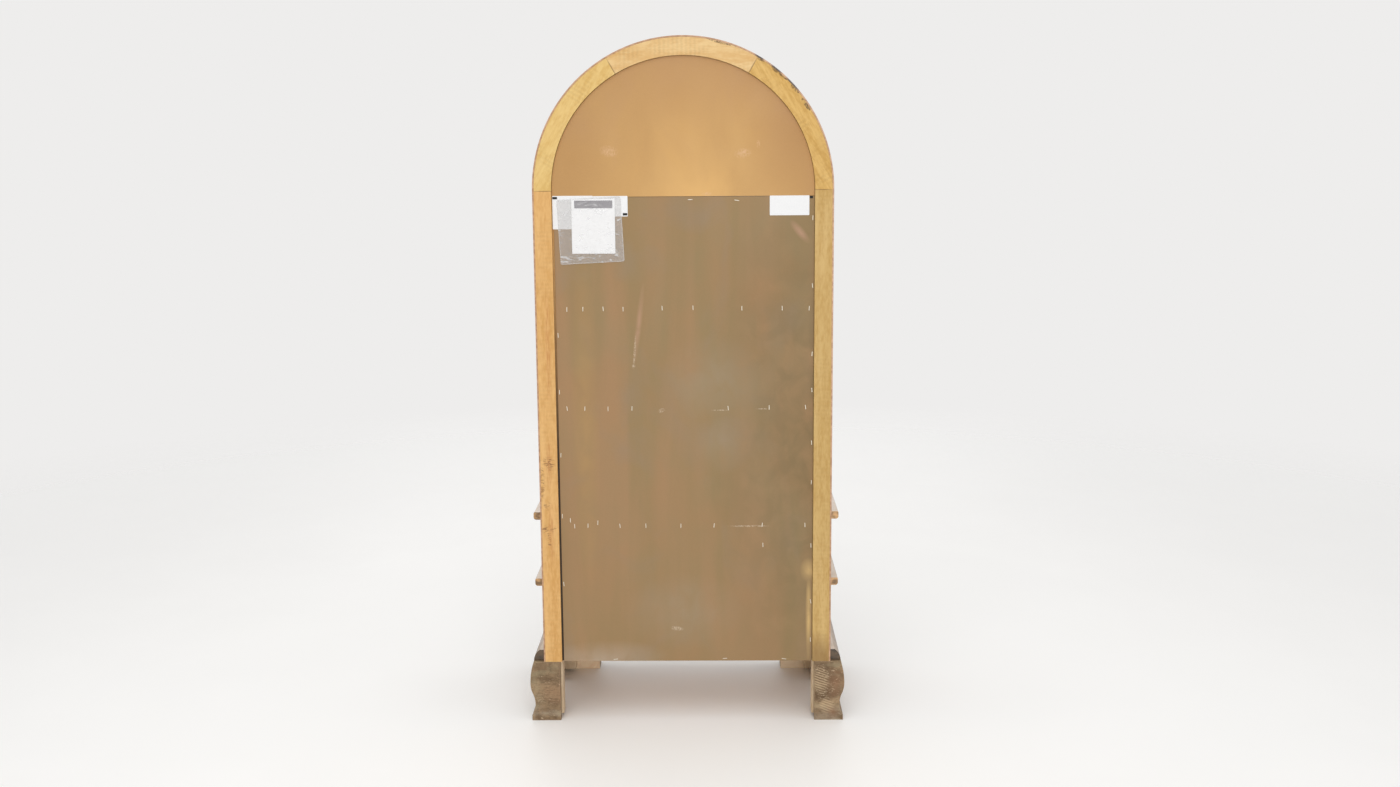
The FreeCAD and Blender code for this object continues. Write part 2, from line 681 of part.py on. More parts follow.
def hinge_leaf(name, middle, way, kept):
    """A leaf rolled into knuckles: way is + for the one on the post, with the pin, and - for the door's."""
    axis_x = f"({OPENING}-door_gap/2)"
    axis_y = f"({FRONT}-knuckle_clear-knuckle_radius)"
    outer, inner = "(door_gap/2)", "(door_gap/2-leaf_thickness)"
    back_way = "-" if way == "+" else "+"
    turn = -1 if way == "+" else 1
    tip = f"{FRONT}+leaf_width"
    low, high = f"({middle}-hinge_height/2)", f"({middle}+hinge_height/2)"
    outline = [
        (f"{axis_x}{way}{outer}", tip),
        (f"{axis_x}{way}{outer}", f"{axis_y}+sqrt(knuckle_radius^2-{outer}^2)"),
        arc("knuckle_radius", turn),
        (axis_x, f"{axis_y}-knuckle_radius"),
        arc("knuckle_radius", turn),
        (f"{axis_x}{back_way}knuckle_radius", axis_y),
        arc("knuckle_radius", turn),
        (f"{axis_x}{way}{inner}", f"{axis_y}+sqrt(knuckle_radius^2-{inner}^2)"),
        (f"{axis_x}{way}{inner}", tip),
    ]
    leaf = prism(name, "XY", outline, low, high)
    step = f"(hinge_height/{KNUCKLES})"
    across = (f"{axis_x}-knuckle_radius-{CUT_MARGIN}", f"{axis_x}+knuckle_radius+{CUT_MARGIN}")
    for number in range(KNUCKLES):
        if number % 2 == kept:
            continue
        foot = f"{low}+{number}*{step}-knuckle_fit"
        head = f"{low}+{number + 1}*{step}+knuckle_fit"
        gap = rectangle(across, (foot, head))
        add_pocket(leaf, "XZ", [gap], f"{axis_y}-knuckle_radius-{CUT_MARGIN}", FRONT)
    if way == "+":
        add_pad(leaf, "XY", ("circle", axis_x, axis_y, "pin_radius"), low, high)
    else:
        bore = ("circle", axis_x, axis_y, "pin_radius+pin_fit")
        add_pocket(leaf, "XY", [bore], f"{low}-{CUT_MARGIN}", f"{high}+{CUT_MARGIN}")
    return leaf


def build_hinges():
    """Butt hinges: the leaves on the posts, with riveted pins, and the leaves on the doors."""
    fixed = []
    moving = []
    spacing = f"((spring_height-{DOOR_BOTTOM}-2*hinge_end)/{HINGES_PER_DOOR - 1})"
    for number in range(HINGES_PER_DOOR):
        middle = f"({DOOR_BOTTOM}+hinge_end+{number}*{spacing})"
        fixed.append(hinge_leaf(f"fixed_leaf_{number}", middle, "+", 0))
        moving.append(hinge_leaf(f"moving_leaf_{number}", middle, "-", 1))
    fixed += [mirrored(f"{piece.Label}_left", piece) for piece in fixed]
    node(group("hinges_on_posts", fixed))
    leaves = group("door_right_hinge_leaves", moving)
    node(leaves)
    node(mirrored("door_left_hinge_leaves", leaves))


def under_arc(radius, x):
    """Height of a circle about the arch's centre over a place on the X axis."""
    return f"(spring_height+sqrt(({radius})^2-({x})^2))"


def door_node(name, piece):
    """Keeps a right-hand door piece and its mirror image on the other door."""
    piece.Label = f"door_right_{name}"
    node(piece)
    node(mirrored(f"door_left_{name}", piece))


def rebate_in(body, across, top):
    """Cuts the glass rebate of a stile, which stops at the bottom rail."""
    low = f"({DOOR_RAIL_TOP}-glass_rebate)"
    outline = rectangle(across, (GLASS_FRONT, f"{DOOR_REAR}+{CUT_MARGIN}"))
    add_pocket(body, "XY", [outline], low, f"{top}+{CUT_MARGIN}")


def build_door_frames():
    """Stiles, bottom rail and arched rail, with a rebate behind for the glass."""
    depth = (FRONT, DOOR_REAR)
    section = rectangle((DOOR_INNER, DOOR_EDGE), depth)
    hinge = prism("hinge_stile", "XY", section, DOOR_BOTTOM, "spring_height")
    rebate_in(hinge, (f"{DOOR_INNER}-{CUT_MARGIN}", f"{DOOR_INNER}+glass_rebate"), "spring_height")
    door_node("hinge_stile", hinge)

    def upright(right, radius, low):
        bend = f"({radius}-glue_line)"
        top = under_arc(bend, right)
        left_top = under_arc(bend, MEETING)
        return [(MEETING, low), (right, low), (right, top), arc(bend, 1), (MEETING, left_top)]

    meeting = prism("meeting_stile", "XZ", upright(MEETING_INNER, DOOR_INNER, DOOR_BOTTOM), *depth)
    shoulder = f"({MEETING_INNER}-glass_rebate)"
    tongue = upright(shoulder, f"({DOOR_INNER}+glass_rebate)", DOOR_RAIL_TOP)
    add_pad(meeting, "XZ", tongue, GLASS_FRONT, DOOR_REAR)
    rebate_in(meeting, (shoulder, f"{MEETING_INNER}+{CUT_MARGIN}"), f"spring_height+{DOOR_EDGE}")
    door_node("meeting_stile", meeting)

    low = f"({DOOR_RAIL_TOP}-glass_rebate)"
    rail_section = [
        (FRONT, DOOR_BOTTOM),
        (DOOR_REAR, DOOR_BOTTOM),
        (DOOR_REAR, low),
        (GLASS_FRONT, low),
        (GLASS_FRONT, DOOR_RAIL_TOP),
        (FRONT, DOOR_RAIL_TOP),
    ]
    door_node("bottom_rail", prism("bottom_rail", "YZ", rail_section, MEETING_INNER, DOOR_INNER))

    arch_section = [
        (DOOR_INNER, FRONT),
        (DOOR_EDGE, FRONT),
        (DOOR_EDGE, DOOR_REAR),
        (f"{DOOR_INNER}+glass_rebate", DOOR_REAR),
        (f"{DOOR_INNER}+glass_rebate", GLASS_FRONT),
        (DOOR_INNER, GLASS_FRONT),
    ]
    sweep = f"90 deg-asin({MEETING}/{DOOR_INNER})"
    door_node("arch_rail", turned("arch_rail", arch_section, sweep))


def build_glazing():
    """A pane with an arched corner, held from behind by four beads."""
    left = f"({MEETING_INNER}-glass_rebate)"
    right = f"({DOOR_INNER}+glass_rebate)"
    low = f"({DOOR_RAIL_TOP}-glass_rebate)"
    pane_left = f"({left}+glass_fit)"
    pane_right = f"({right}-glass_fit)"
    pane = [
        (pane_left, f"{low}+glass_fit"),
        (pane_right, f"{low}+glass_fit"),
        (pane_right, "spring_height"),
        arc(pane_right, 1),
        (pane_left, under_arc(pane_right, pane_left)),
    ]
    door_node("glass", prism("glass", "XZ", pane, GLASS_FRONT, GLASS_REAR))

    depth = (GLASS_REAR, DOOR_REAR)
    bottom = board("bead_bottom", (left, right), depth, (low, DOOR_RAIL_TOP))
    outer = board("bead_outer", (DOOR_INNER, right), depth, (DOOR_RAIL_TOP, "spring_height"))
    bend = f"({DOOR_INNER}-glue_line)"
    upright = [
        (left, DOOR_RAIL_TOP),
        (MEETING_INNER, DOOR_RAIL_TOP),
        (MEETING_INNER, under_arc(bend, MEETING_INNER)),
        arc(bend, 1),
        (left, under_arc(bend, left)),
    ]
    inner = prism("bead_inner", "XZ", upright, *depth)
    ring = rectangle((DOOR_INNER, f"{right}-glue_line"), depth)
    arched = turned("bead_arched", ring, f"acos({left}/{DOOR_INNER})")
    door_node("glazing_beads", group("glazing_beads", [bottom, outer, inner, arched]))


def knob_section(radius):
    """An even polygon with a flat at the top, given by the distance of its corners from the middle."""
    step = 360 / KNOB_SIDES
    angles = [f"({step * (number + 0.5)} deg)" for number in range(KNOB_SIDES)]
    return [(f"{radius}*cos({angle})", f"{radius}*sin({angle})") for angle in angles]


def knob(name, x, z):
    """A knob with flat sides and a bevelled head on a neck and a thin foot, in front of the front face."""
    tip = "(-knob_length)"
    shoulder = f"({tip}+knob_head)"
    foot = "(-knob_base_thickness)"
    body = prism(name, "XZ", knob_section("knob_radius"), tip, shoulder)
    bevel(body, tip, "knob_bevel")
    bevel(body, shoulder, "knob_bevel")
    add_pad(body, "XZ", knob_section("knob_neck_radius"), shoulder, foot)
    add_pad(body, "XZ", knob_section("knob_base_radius"), foot, NO_LENGTH)
    for axis, place in (("x", x), ("y", FRONT), ("z", z)):
        body.setExpression(f"Placement.Base.{axis}", formula(place))
    doc.recompute()
    return body


def drawer_side(name, low, high, runner_low, runner_high):
    """A drawer side with a groove outside for the runner and one inside for the bottom."""
    outer = f"({OPENING}-drawer_side_clearance)"
    inner = f"({outer}-drawer_side_thickness)"
    runner_wall = f"({outer}-runner_engagement-runner_fit)"
    groove_wall = f"({inner}+bottom_groove_depth)"
    groove_low = f"({low}+bottom_groove_rise)"
    groove_high = f"({groove_low}+drawer_bottom_thickness)"
    outline = [
        (inner, low),
        (outer, low),
        (outer, f"{runner_low}-runner_fit"),
        (runner_wall, f"{runner_low}-runner_fit"),
        (runner_wall, f"{runner_high}+runner_fit"),
        (outer, f"{runner_high}+runner_fit"),
        (outer, high),
        (inner, high),
        (inner, groove_high),
        (groove_wall, groove_high),
        (groove_wall, groove_low),
        (inner, groove_low),
    ]
    return prism(name, "XZ", outline, DRAWER_BOX_FRONT, DRAWER_BOX_REAR)


def drawer_front(name, low, high):
    """A drawer front with a bevel round its face."""
    reach = f"({OPENING}-drawer_gap)"
    outline = rectangle(both_ways(reach), (f"{low}+drawer_gap", f"{high}-drawer_gap"))
    body = prism(name, "XZ", outline, FRONT, f"{FRONT}+drawer_front_thickness")
    bevel(body, FRONT, "drawer_front_bevel")
    return body


def build_drawers():
    """Two drawers, side-hung on wooden runners fixed to the posts."""
    openings = {
        "upper": ("drawer_rail_top", WAIST_RAIL_BOTTOM),
        "lower": (BASE_RAIL_TOP, DRAWER_RAIL_BOTTOM),
    }
    inner = f"({OPENING}-drawer_side_clearance-drawer_side_thickness)"
    runners = []
    for place, (low, high) in openings.items():
        name = f"drawer_{place}"
        middle = f"(({low}+{high})/2)"
        runner_low, runner_high = f"({middle}-runner_height/2)", f"({middle}+runner_height/2)"
        box_low = f"({low}+drawer_gap+drawer_box_lift)"
        box_high = f"({high}-drawer_gap-drawer_box_drop)"
        node(drawer_front(f"{name}_front", low, high))
        side = drawer_side(f"{name}_side_right", box_low, box_high, runner_low, runner_high)
        bottom_low = f"({box_low}+bottom_groove_rise)"
        bottom_high = f"({bottom_low}+drawer_bottom_thickness)"
        across = both_ways(f"({inner}+bottom_groove_depth)")
        bottom_depth = (DRAWER_BOX_FRONT, DRAWER_BOX_REAR)
        bottom = board(f"{name}_bottom", across, bottom_depth, (bottom_low, bottom_high))
        back_depth = (f"{DRAWER_BOX_REAR}-drawer_side_thickness", DRAWER_BOX_REAR)
        back = board(f"{name}_back", both_ways(inner), back_depth, (bottom_high, box_high))
        node(group(f"{name}_box", [side, mirrored(f"{name}_side_left", side), back, bottom]))
        right = knob(f"{name}_knob_right", "drawer_knob_spread", middle)
        node(group(f"{name}_knobs", [right, mirrored(f"{name}_knob_left", right)]))
        across = (f"{OPENING}-drawer_side_clearance-runner_engagement", OPENING)
        length = (f"{DRAWER_BOX_FRONT}+runner_setback", LEDGE)
        runner = board(f"runner_{place}", across, length, (runner_low, runner_high))
        runners += [runner, mirrored(f"runner_{place}_left", runner)]
    node(group("drawer_runners", runners))


def build_pouch():
    """A thin clear pouch that hangs against the back panels."""
    low = f"({LEDGE}+back_panel_thickness+pouch_clear)"
    edge = f"({PANEL_EDGE}-pouch_side_gap)"
    top = f"({PANEL_JOINT}-pouch_drop)"
    across = (f"{edge}-pouch_width", edge)
    node(board("document_pouch", across, (low, f"{low}+pouch_thickness"), (f"{top}-pouch_height", top)))


def check_and_write():
    doc.recompute()
    for item in doc.Objects:
        if "Invalid" in item.State or "Error" in item.State:
            raise RuntimeError(f"{item.Label}: {item.State}")
    for piece in nodes:
        if piece.Shape.isNull() or not piece.Shape.isValid():
            raise RuntimeError(f"{piece.Label}: no valid shape")
    os.makedirs("parts", exist_ok=True)
    for piece in nodes:
        piece.Shape.exportStep(f"parts/{piece.Label}.step")
    print(f"{len(nodes)} nodes")


build_frames()
build_skins()
build_inner_rails()
build_floors()
build_shelves()
build_back_panels()
build_front_rails()
build_mouldings()
build_front_feet()
build_back_feet()
build_foot_blocks()
build_catch()
build_hinges()
build_door_frames()
build_glazing()
door_node("knob", knob("door_knob", f"{MEETING}+stile_width/2", "door_knob_height"))
build_drawers()
build_pouch()
check_and_write()
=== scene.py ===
import math
import random

import bpy
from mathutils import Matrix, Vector


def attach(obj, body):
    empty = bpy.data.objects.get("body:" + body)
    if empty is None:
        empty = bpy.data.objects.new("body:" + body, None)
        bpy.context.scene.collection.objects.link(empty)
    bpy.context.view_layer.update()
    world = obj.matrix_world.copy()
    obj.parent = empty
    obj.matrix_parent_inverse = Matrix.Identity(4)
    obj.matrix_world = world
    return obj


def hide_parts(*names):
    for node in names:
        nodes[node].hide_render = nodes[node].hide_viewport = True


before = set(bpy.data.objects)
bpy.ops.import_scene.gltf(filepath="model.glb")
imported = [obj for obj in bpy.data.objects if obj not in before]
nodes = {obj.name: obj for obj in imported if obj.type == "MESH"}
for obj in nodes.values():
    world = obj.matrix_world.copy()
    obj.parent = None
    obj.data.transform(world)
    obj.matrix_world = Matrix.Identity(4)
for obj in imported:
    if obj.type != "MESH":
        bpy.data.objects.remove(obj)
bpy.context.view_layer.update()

# Sizes and places in millimetres, in the frame of the solids: the back faces +Y, and +X is on the left
# for someone who looks at the back.
MM = 0.001
PANEL_FACE = 216
RABBET_FLOOR = 212
BACK_FACE = 222
SPRING_HEIGHT = 1406
PATTERN_DEPTH = 4000

# A pouch of clear film on the back, over the labels.
POUCH_MIDDLE = (235.5, 1306)
POUCH_SIDES = (163, 164)
POUCH_LEAN = 2.8
POUCH_FACE, POUCH_THICKNESS = 216.4, 2.6


def linear(colour):
    """A linear colour with full alpha from an sRGB hex value."""
    channels = [int(colour[start : start + 2], 16) / 255 for start in (1, 3, 5)]
    return (*(c / 12.92 if c <= 0.04045 else ((c + 0.055) / 1.055) ** 2.4 for c in channels), 1)


def add(tree, kind, inputs=None, **settings):
    """Adds a node with its settings. An input, by name or number, takes a value, a hex colour, a socket to
    link from, or a node whose first output is linked."""
    node = tree.nodes.new("ShaderNode" + kind)
    for name, setting in settings.items():
        setattr(node, name, setting)
    for name, given in (inputs or {}).items():
        if isinstance(name, int):
            socket = node.inputs[name]
        else:
            socket = next(entry for entry in node.inputs if entry.enabled and entry.name == name)
        if isinstance(given, bpy.types.Node):
            given = next(output for output in given.outputs if output.enabled)
        if isinstance(given, bpy.types.NodeSocket):
            tree.links.new(given, socket)
        else:
            socket.default_value = linear(given) if isinstance(given, str) else given
    return node


def start_material(name):
    """A new material, its node tree, and the place of a point in metres, shared by all pieces."""
    material = bpy.data.materials.new(name)
    material.use_nodes = True
    tree = material.node_tree
    tree.nodes.clear()
    return material, tree, add(tree, "TexCoord").outputs["Object"]


def finish_material(material, shader):
    """Gives a material its one shader, with the inputs worked out for it."""
    surface = add(material.node_tree, "BsdfPrincipled", shader)
    add(material.node_tree, "OutputMaterial", {"Surface": surface})
    return material


def per_mm(*sizes):
    """The scale along each axis of a pattern whose spots have these sizes in millimetres. Pores, fibres and
    the grain of a mould are too fine to show at their real size, so they are drawn coarser."""
    return [1 / (size * MM) for size in sizes]


def patches(tree, place, ovals):
    """Ovals on the back: x and z of the middle, half width, half height, and the degrees that raise +X."""
    union = None
    for x, z, half_width, half_height, lean in ovals:
        inputs = {
            "Vector": place,
            "Location": (x * MM, BACK_FACE * MM, z * MM),
            "Rotation": (0, math.radians(-lean), 0),
            "Scale": (half_width * MM, PATTERN_DEPTH * MM, half_height * MM),
        }
        near = add(tree, "Mapping", inputs, vector_type="TEXTURE")
        oval = add(tree, "TexGradient", {"Vector": near}, gradient_type="SPHERICAL").outputs["Fac"]
        union = oval if union is None else add(tree, "Math", {0: union, 1: oval}, operation="MAXIMUM")
    return union


# Turns that bring the grain of a piece upright; a number of degrees turns a piece of the arch.
GRAIN_TURNS = {"upright": (0, 0, 0), "level": (0, -90, 0), "deep": (90, 0, 0)}
GRAIN_RADIUS = 350
# The wave texture repeats after this length at a scale of one.
WAVE_LENGTH = 2 * math.pi / 20
RING_SWAY = (0.045, 0.045, 0)


def along_grain(tree, place, grain, pith):
    """The place with the grain along Z and the pith of the log, in millimetres, on that axis."""
    if grain == "arched":
        parts = add(tree, "SeparateXYZ", {"Vector": place}).outputs
        rise = add(tree, "Math", {0: parts["Z"], 1: SPRING_HEIGHT * MM}, operation="SUBTRACT")
        turn = add(tree, "Math", {0: rise, 1: parts["X"]}, operation="ARCTAN2")
        length = add(tree, "Math", {0: turn, 1: GRAIN_RADIUS * MM}, operation="MULTIPLY")
        spoke = add(tree, "CombineXYZ", {"X": parts["X"], "Y": rise})
        radius = add(tree, "VectorMath", {0: spoke}, operation="LENGTH")
        place = add(tree, "CombineXYZ", {"X": radius, "Y": parts["Y"], "Z": length})
        turns = (0, 0, 0)
    else:
        turns = [math.radians(angle) for angle in GRAIN_TURNS.get(grain, (0, grain, 0))]
    inputs = {"Vector": place, "Rotation": turns, "Location": [side * MM for side in pith]}
    return add(tree, "Mapping", inputs)


def growth_rings(tree, grained, spacing):
    """Rings round the pith, bent as a tree grows, from 0 to 1."""
    slow = add(tree, "Mapping", {"Vector": grained, "Scale": per_mm(60, 60, 420)})
    sway = add(tree, "TexNoise", {"Vector": slow, "Scale": 1}).outputs["Color"]
    bent = add(tree, "VectorMath", {0: sway, 1: RING_SWAY, 2: grained}, operation="MULTIPLY_ADD")
    inputs = {"Vector": bent, "Scale": WAVE_LENGTH / (spacing * MM), "Distortion": 1.2, "Detail": 3}
    return add(tree, "TexWave", inputs, wave_type="RINGS", rings_direction="Z").outputs["Fac"]


def edge_share(tree, radius):
    """How near a point is to an edge, from 0 on a flat to 1."""
    flat = add(tree, "NewGeometry").outputs["Normal"]
    rounded = add(tree, "Bevel", {"Radius": radius * MM}, samples=4)
    likeness = add(tree, "VectorMath", {0: rounded, 1: flat}, operation="DOT_PRODUCT")
    return add(tree, "MapRange", {"Value": likeness, "From Min": 0.995, "From Max": 0.82})


def facing_back(tree):
    """How far a face looks towards the back, as the Y of its normal."""
    facing = add(tree, "NewGeometry").outputs["True Normal"]
    return add(tree, "SeparateXYZ", {"Vector": facing}).outputs["Y"]


def sawn_wood(name, pale, brown, grain, pith, saw_marks=0.1, stains=(), joints=(), flecked=False):
    """Raw softwood as it leaves the saw: yellow, with broad rings, dry and furry, and faint lines across
    the grain where the blade went. Stains are ovals where brown finish ran over, or short level flecks on
    flecked timber, which also has redder heart streaks. Joints are dark lines, and ovals of painted shade
    come with them. Pieces with joints also get painted shade on the floor of the rabbet."""
    material, tree, place = start_material(name)
    grained = along_grain(tree, place, grain, pith)
    rings = growth_rings(tree, grained, spacing=17)
    spots = add(tree, "Mapping", {"Vector": grained, "Scale": per_mm(30, 30, 240)})
    tone = add(tree, "TexNoise", {"Vector": spots, "Scale": 1, "Detail": 5, "Distortion": 0.6})
    spots = add(tree, "Mapping", {"Vector": grained, "Scale": per_mm(5, 5, 16)})
    fur = add(tree, "TexNoise", {"Vector": spots, "Scale": 1, "Detail": 4})
    spots = add(tree, "Mapping", {"Vector": grained, "Scale": per_mm(1.6, 1.6, 40)})
    fibres = add(tree, "TexNoise", {"Vector": spots, "Scale": 1, "Detail": 2})
    spread = add(tree, "MapRange", {"Value": tone, "From Min": 0.3, "From Max": 0.7, "To Max": 0.6})
    share = add(tree, "Math", {0: rings, 1: 0.22, 2: spread}, operation="MULTIPLY_ADD")
    colour = add(tree, "Mix", {"Factor": share, "A": pale, "B": brown}, data_type="RGBA")
    layers = [(fibres, 0.52, 0.8, 0.6, brown), (fur, 0.5, 0.7, 0.5, pale), (fur, 0.5, 0.3, 0.5, brown)]
    for pattern, low, high, most, layer in layers:
        inputs = {"Value": pattern, "From Min": low, "From Max": high, "To Max": most}
        share = add(tree, "MapRange", inputs)
        colour = add(tree, "Mix", {"Factor": share, "A": colour, "B": layer}, data_type="RGBA")

    blade = add(tree, "Mapping", {"Vector": grained, "Scale": per_mm(60, 60, 1000)})
    inputs = {"Vector": blade, "Scale": WAVE_LENGTH * 1000 / SAW_SPACING, "Distortion": 3, "Detail": 2}
    saw = add(tree, "TexWave", inputs, wave_type="BANDS", bands_direction="Z").outputs["Fac"]
    spots = add(tree, "Mapping", {"Vector": grained, "Scale": per_mm(40, 40, 60)})
    where = add(tree, "TexNoise", {"Vector": spots, "Scale": 1, "Detail": 3})
    where = add(tree, "MapRange", {"Value": where, "From Min": 0.42, "From Max": 0.66})
    patchy = add(tree, "Math", {0: where, 1: saw}, operation="MULTIPLY")
    share = add(tree, "Math", {0: patchy, 1: saw_marks}, operation="MULTIPLY")
    colour = add(tree, "Mix", {"Factor": share, "A": colour, "B": "#8a6a3a"}, data_type="RGBA")

    if joints:
        joint_and_shade_share = patches(tree, place, joints)
        joint_and_shade_share = add(tree, "MapRange", {"Value": joint_and_shade_share, "From Min": 0.05, "From Max": 0.6, "To Max": 0.65})
        colour = add(tree, "Mix", {"Factor": joint_and_shade_share, "A": colour, "B": "#7d5c31"}, data_type="RGBA")
        # The floor of the rabbet, seen in the gap beside the panel on one side, is darkened as painted
        # shade, more so lower down.
        parts = add(tree, "SeparateXYZ", {"Vector": place}).outputs
        sunk = add(tree, "Math", {0: parts["Y"], 1: (RABBET_FLOOR + 1) * MM}, operation="LESS_THAN")
        backward = add(tree, "Math", {0: facing_back(tree), 1: 0.5}, operation="GREATER_THAN")
        one_side = add(tree, "Math", {0: parts["X"], 1: 0}, operation="GREATER_THAN")
        heights = {"From Min": SPRING_HEIGHT * MM, "From Max": SPRING_HEIGHT / 2 * MM}
        lower = add(tree, "MapRange", {"Value": parts["Z"], **heights})
        painted_gap_shade = sunk
        for limit in (backward, one_side, lower):
            painted_gap_shade = add(tree, "Math", {0: painted_gap_shade, 1: limit}, operation="MULTIPLY")
        colour = add(tree, "Mix", {"Factor": painted_gap_shade, "A": colour, "B": "#33261a"}, data_type="RGBA")

    if stains:
        near = patches(tree, place, stains)
        near = add(tree, "MapRange", {"Value": near, "From Min": 0, "From Max": 0.4})
        sizes = FLECK_SIZES if flecked else STAIN_SIZES
        spots = add(tree, "Mapping", {"Vector": place, "Scale": per_mm(*sizes)})
        streaks = add(tree, "TexNoise", {"Vector": spots, "Scale": 1, "Detail": 4, "Distortion": 1})
        if flecked:
            heart = patches(tree, place, HEART_STREAKS)
            heart = add(tree, "MapRange", {"Value": heart, "From Min": 0, "From Max": 0.7})
            fine = add(tree, "MapRange", {"Value": fibres, "From Min": 0.4, "From Max": 0.6, "To Max": 0.55})
            share = add(tree, "Math", {0: heart, 1: fine}, operation="MULTIPLY")
            colour = add(tree, "Mix", {"Factor": share, "A": colour, "B": HEART_COLOUR}, data_type="RGBA")
            inputs = {"Value": streaks, "From Min": 0.48, "From Max": 0.66, "To Max": 0.8}
            flecks = add(tree, "MapRange", inputs)
            smear = add(tree, "Math", {0: flecks, 1: near}, operation="MULTIPLY")
        else:
            run = add(tree, "Math", {0: near, 1: streaks}, operation="MULTIPLY")
            smear = add(tree, "MapRange", {"Value": run, "From Min": 0.34, "From Max": 0.56, "To Max": 0.8})
        stain = FLECK_COLOUR if flecked else STAIN_RUN
        colour = add(tree, "Mix", {"Factor": smear, "A": colour, "B": stain}, data_type="RGBA")

    rough = add(tree, "MapRange", {"Value": tone, "From Min": -1.2, "From Max": 1.4})
    height = add(tree, "Math", {0: fur, 1: patchy}, operation="ADD")
    rounded = add(tree, "Bevel", {"Radius": 1.2 * MM}, samples=4)
    bump = add(tree, "Bump", {"Height": height, "Distance": 0.15 * MM, "Strength": 1, "Normal": rounded})
    return finish_material(material, {"Base Color": colour, "Roughness": rough, "Normal": bump})


def stained_wood(name, grain, pith, tones, sawn_end=None, painted_top_highlight=0.0, end_spots=()):
    """Hardwood stained brown under a satin lacquer: the stain lies darker in pores and rings, and it is
    rubbed through to paler wood along the edges. Faces that look up may get the same pale tone as a
    painted highlight. Sawn ends on the back took no stain, and may have dark spots."""
    stain, deep, worn_and_top_lit_tone = tones
    material, tree, place = start_material(name)
    grained = along_grain(tree, place, grain, pith)
    rings = growth_rings(tree, grained, spacing=9)
    spots = add(tree, "Mapping", {"Vector": grained, "Scale": per_mm(28, 28, 260)})
    tone = add(tree, "TexNoise", {"Vector": spots, "Scale": 1, "Detail": 4, "Distortion": 0.5})
    spots = add(tree, "Mapping", {"Vector": grained, "Scale": per_mm(1.2, 1.2, 22)})
    pores = add(tree, "TexNoise", {"Vector": spots, "Scale": 1, "Detail": 2})
    pores = add(tree, "MapRange", {"Value": pores, "From Min": 0.55, "From Max": 0.75})
    spread = add(tree, "MapRange", {"Value": tone, "From Min": 0.3, "From Max": 0.7, "To Max": 0.6})
    share = add(tree, "Math", {0: rings, 1: 0.4, 2: spread}, operation="MULTIPLY_ADD")
    colour = add(tree, "Mix", {"Factor": share, "A": stain, "B": deep}, data_type="RGBA")
    share = add(tree, "Math", {0: pores, 1: 0.7}, operation="MULTIPLY")
    colour = add(tree, "Mix", {"Factor": share, "A": colour, "B": deep}, data_type="RGBA")

    spots = add(tree, "Mapping", {"Vector": place, "Scale": per_mm(30, 30, 30)})
    scuffed = add(tree, "TexNoise", {"Vector": spots, "Scale": 1, "Detail": 4})
    scuffed = add(tree, "MapRange", {"Value": scuffed, "From Min": 0.35, "From Max": 0.6, "To Max": 0.6})
    rubbed = add(tree, "Math", {0: edge_share(tree, radius=4), 1: scuffed}, operation="MULTIPLY")
    # Painted highlight: faces that look up, such as the tops of the mouldings, are painted in the pale worn
    # tone.
    if painted_top_highlight:
        facing = add(tree, "NewGeometry").outputs["Normal"]
        upward = add(tree, "SeparateXYZ", {"Vector": facing}).outputs["Z"]
        inputs = {"Value": upward, "From Min": 0.5, "From Max": 0.95, "To Max": painted_top_highlight}
        lit_top_share = add(tree, "MapRange", inputs)
        rubbed = add(tree, "Math", {0: rubbed, 1: lit_top_share}, operation="MAXIMUM")
    colour = add(tree, "Mix", {"Factor": rubbed, "A": colour, "B": worn_and_top_lit_tone}, data_type="RGBA")

    if sawn_end:
        level, end_pale, end_dark = sawn_end
        depth = add(tree, "SeparateXYZ", {"Vector": place}).outputs["Y"]
        end = add(tree, "Math", {0: depth, 1: level * MM}, operation="GREATER_THAN")
        spots = add(tree, "Mapping", {"Vector": place, "Scale": per_mm(22, 22, 12)})
        smear = add(tree, "TexNoise", {"Vector": spots, "Scale": 1, "Detail": 4})
        smear = add(tree, "MapRange", {"Value": smear, "From Min": 0.4, "From Max": 0.62})
        end_colour = add(tree, "Mix", {"Factor": smear, "A": end_pale, "B": end_dark}, data_type="RGBA")
        if end_spots:
            spot = patches(tree, place, end_spots)
            spot = add(tree, "MapRange", {"Value": spot, "From Min": 0, "From Max": 0.5, "To Max": 0.9})
            inputs = {"Factor": spot, "A": end_colour, "B": "#2c2118"}
            end_colour = add(tree, "Mix", inputs, data_type="RGBA")
        colour = add(tree, "Mix", {"Factor": end, "A": colour, "B": end_colour}, data_type="RGBA")

    rough = add(tree, "Math", {0: tone, 1: pores}, operation="ADD")
    rough = add(tree, "MapRange", {"Value": rough, "From Min": -0.6, "From Max": 2.6})
    height = add(tree, "Math", {0: tone, 1: pores}, operation="SUBTRACT")
    rounded = add(tree, "Bevel", {"Radius": 1.2 * MM}, samples=4)
    bump = add(tree, "Bump", {"Height": height, "Distance": 0.1 * MM, "Strength": 1, "Normal": rounded})
    lacquer = {"Coat Weight": 0.3, "Coat Roughness": 0.32}
    return finish_material(material, {"Base Color": colour, "Roughness": rough, "Normal": bump, **lacquer})


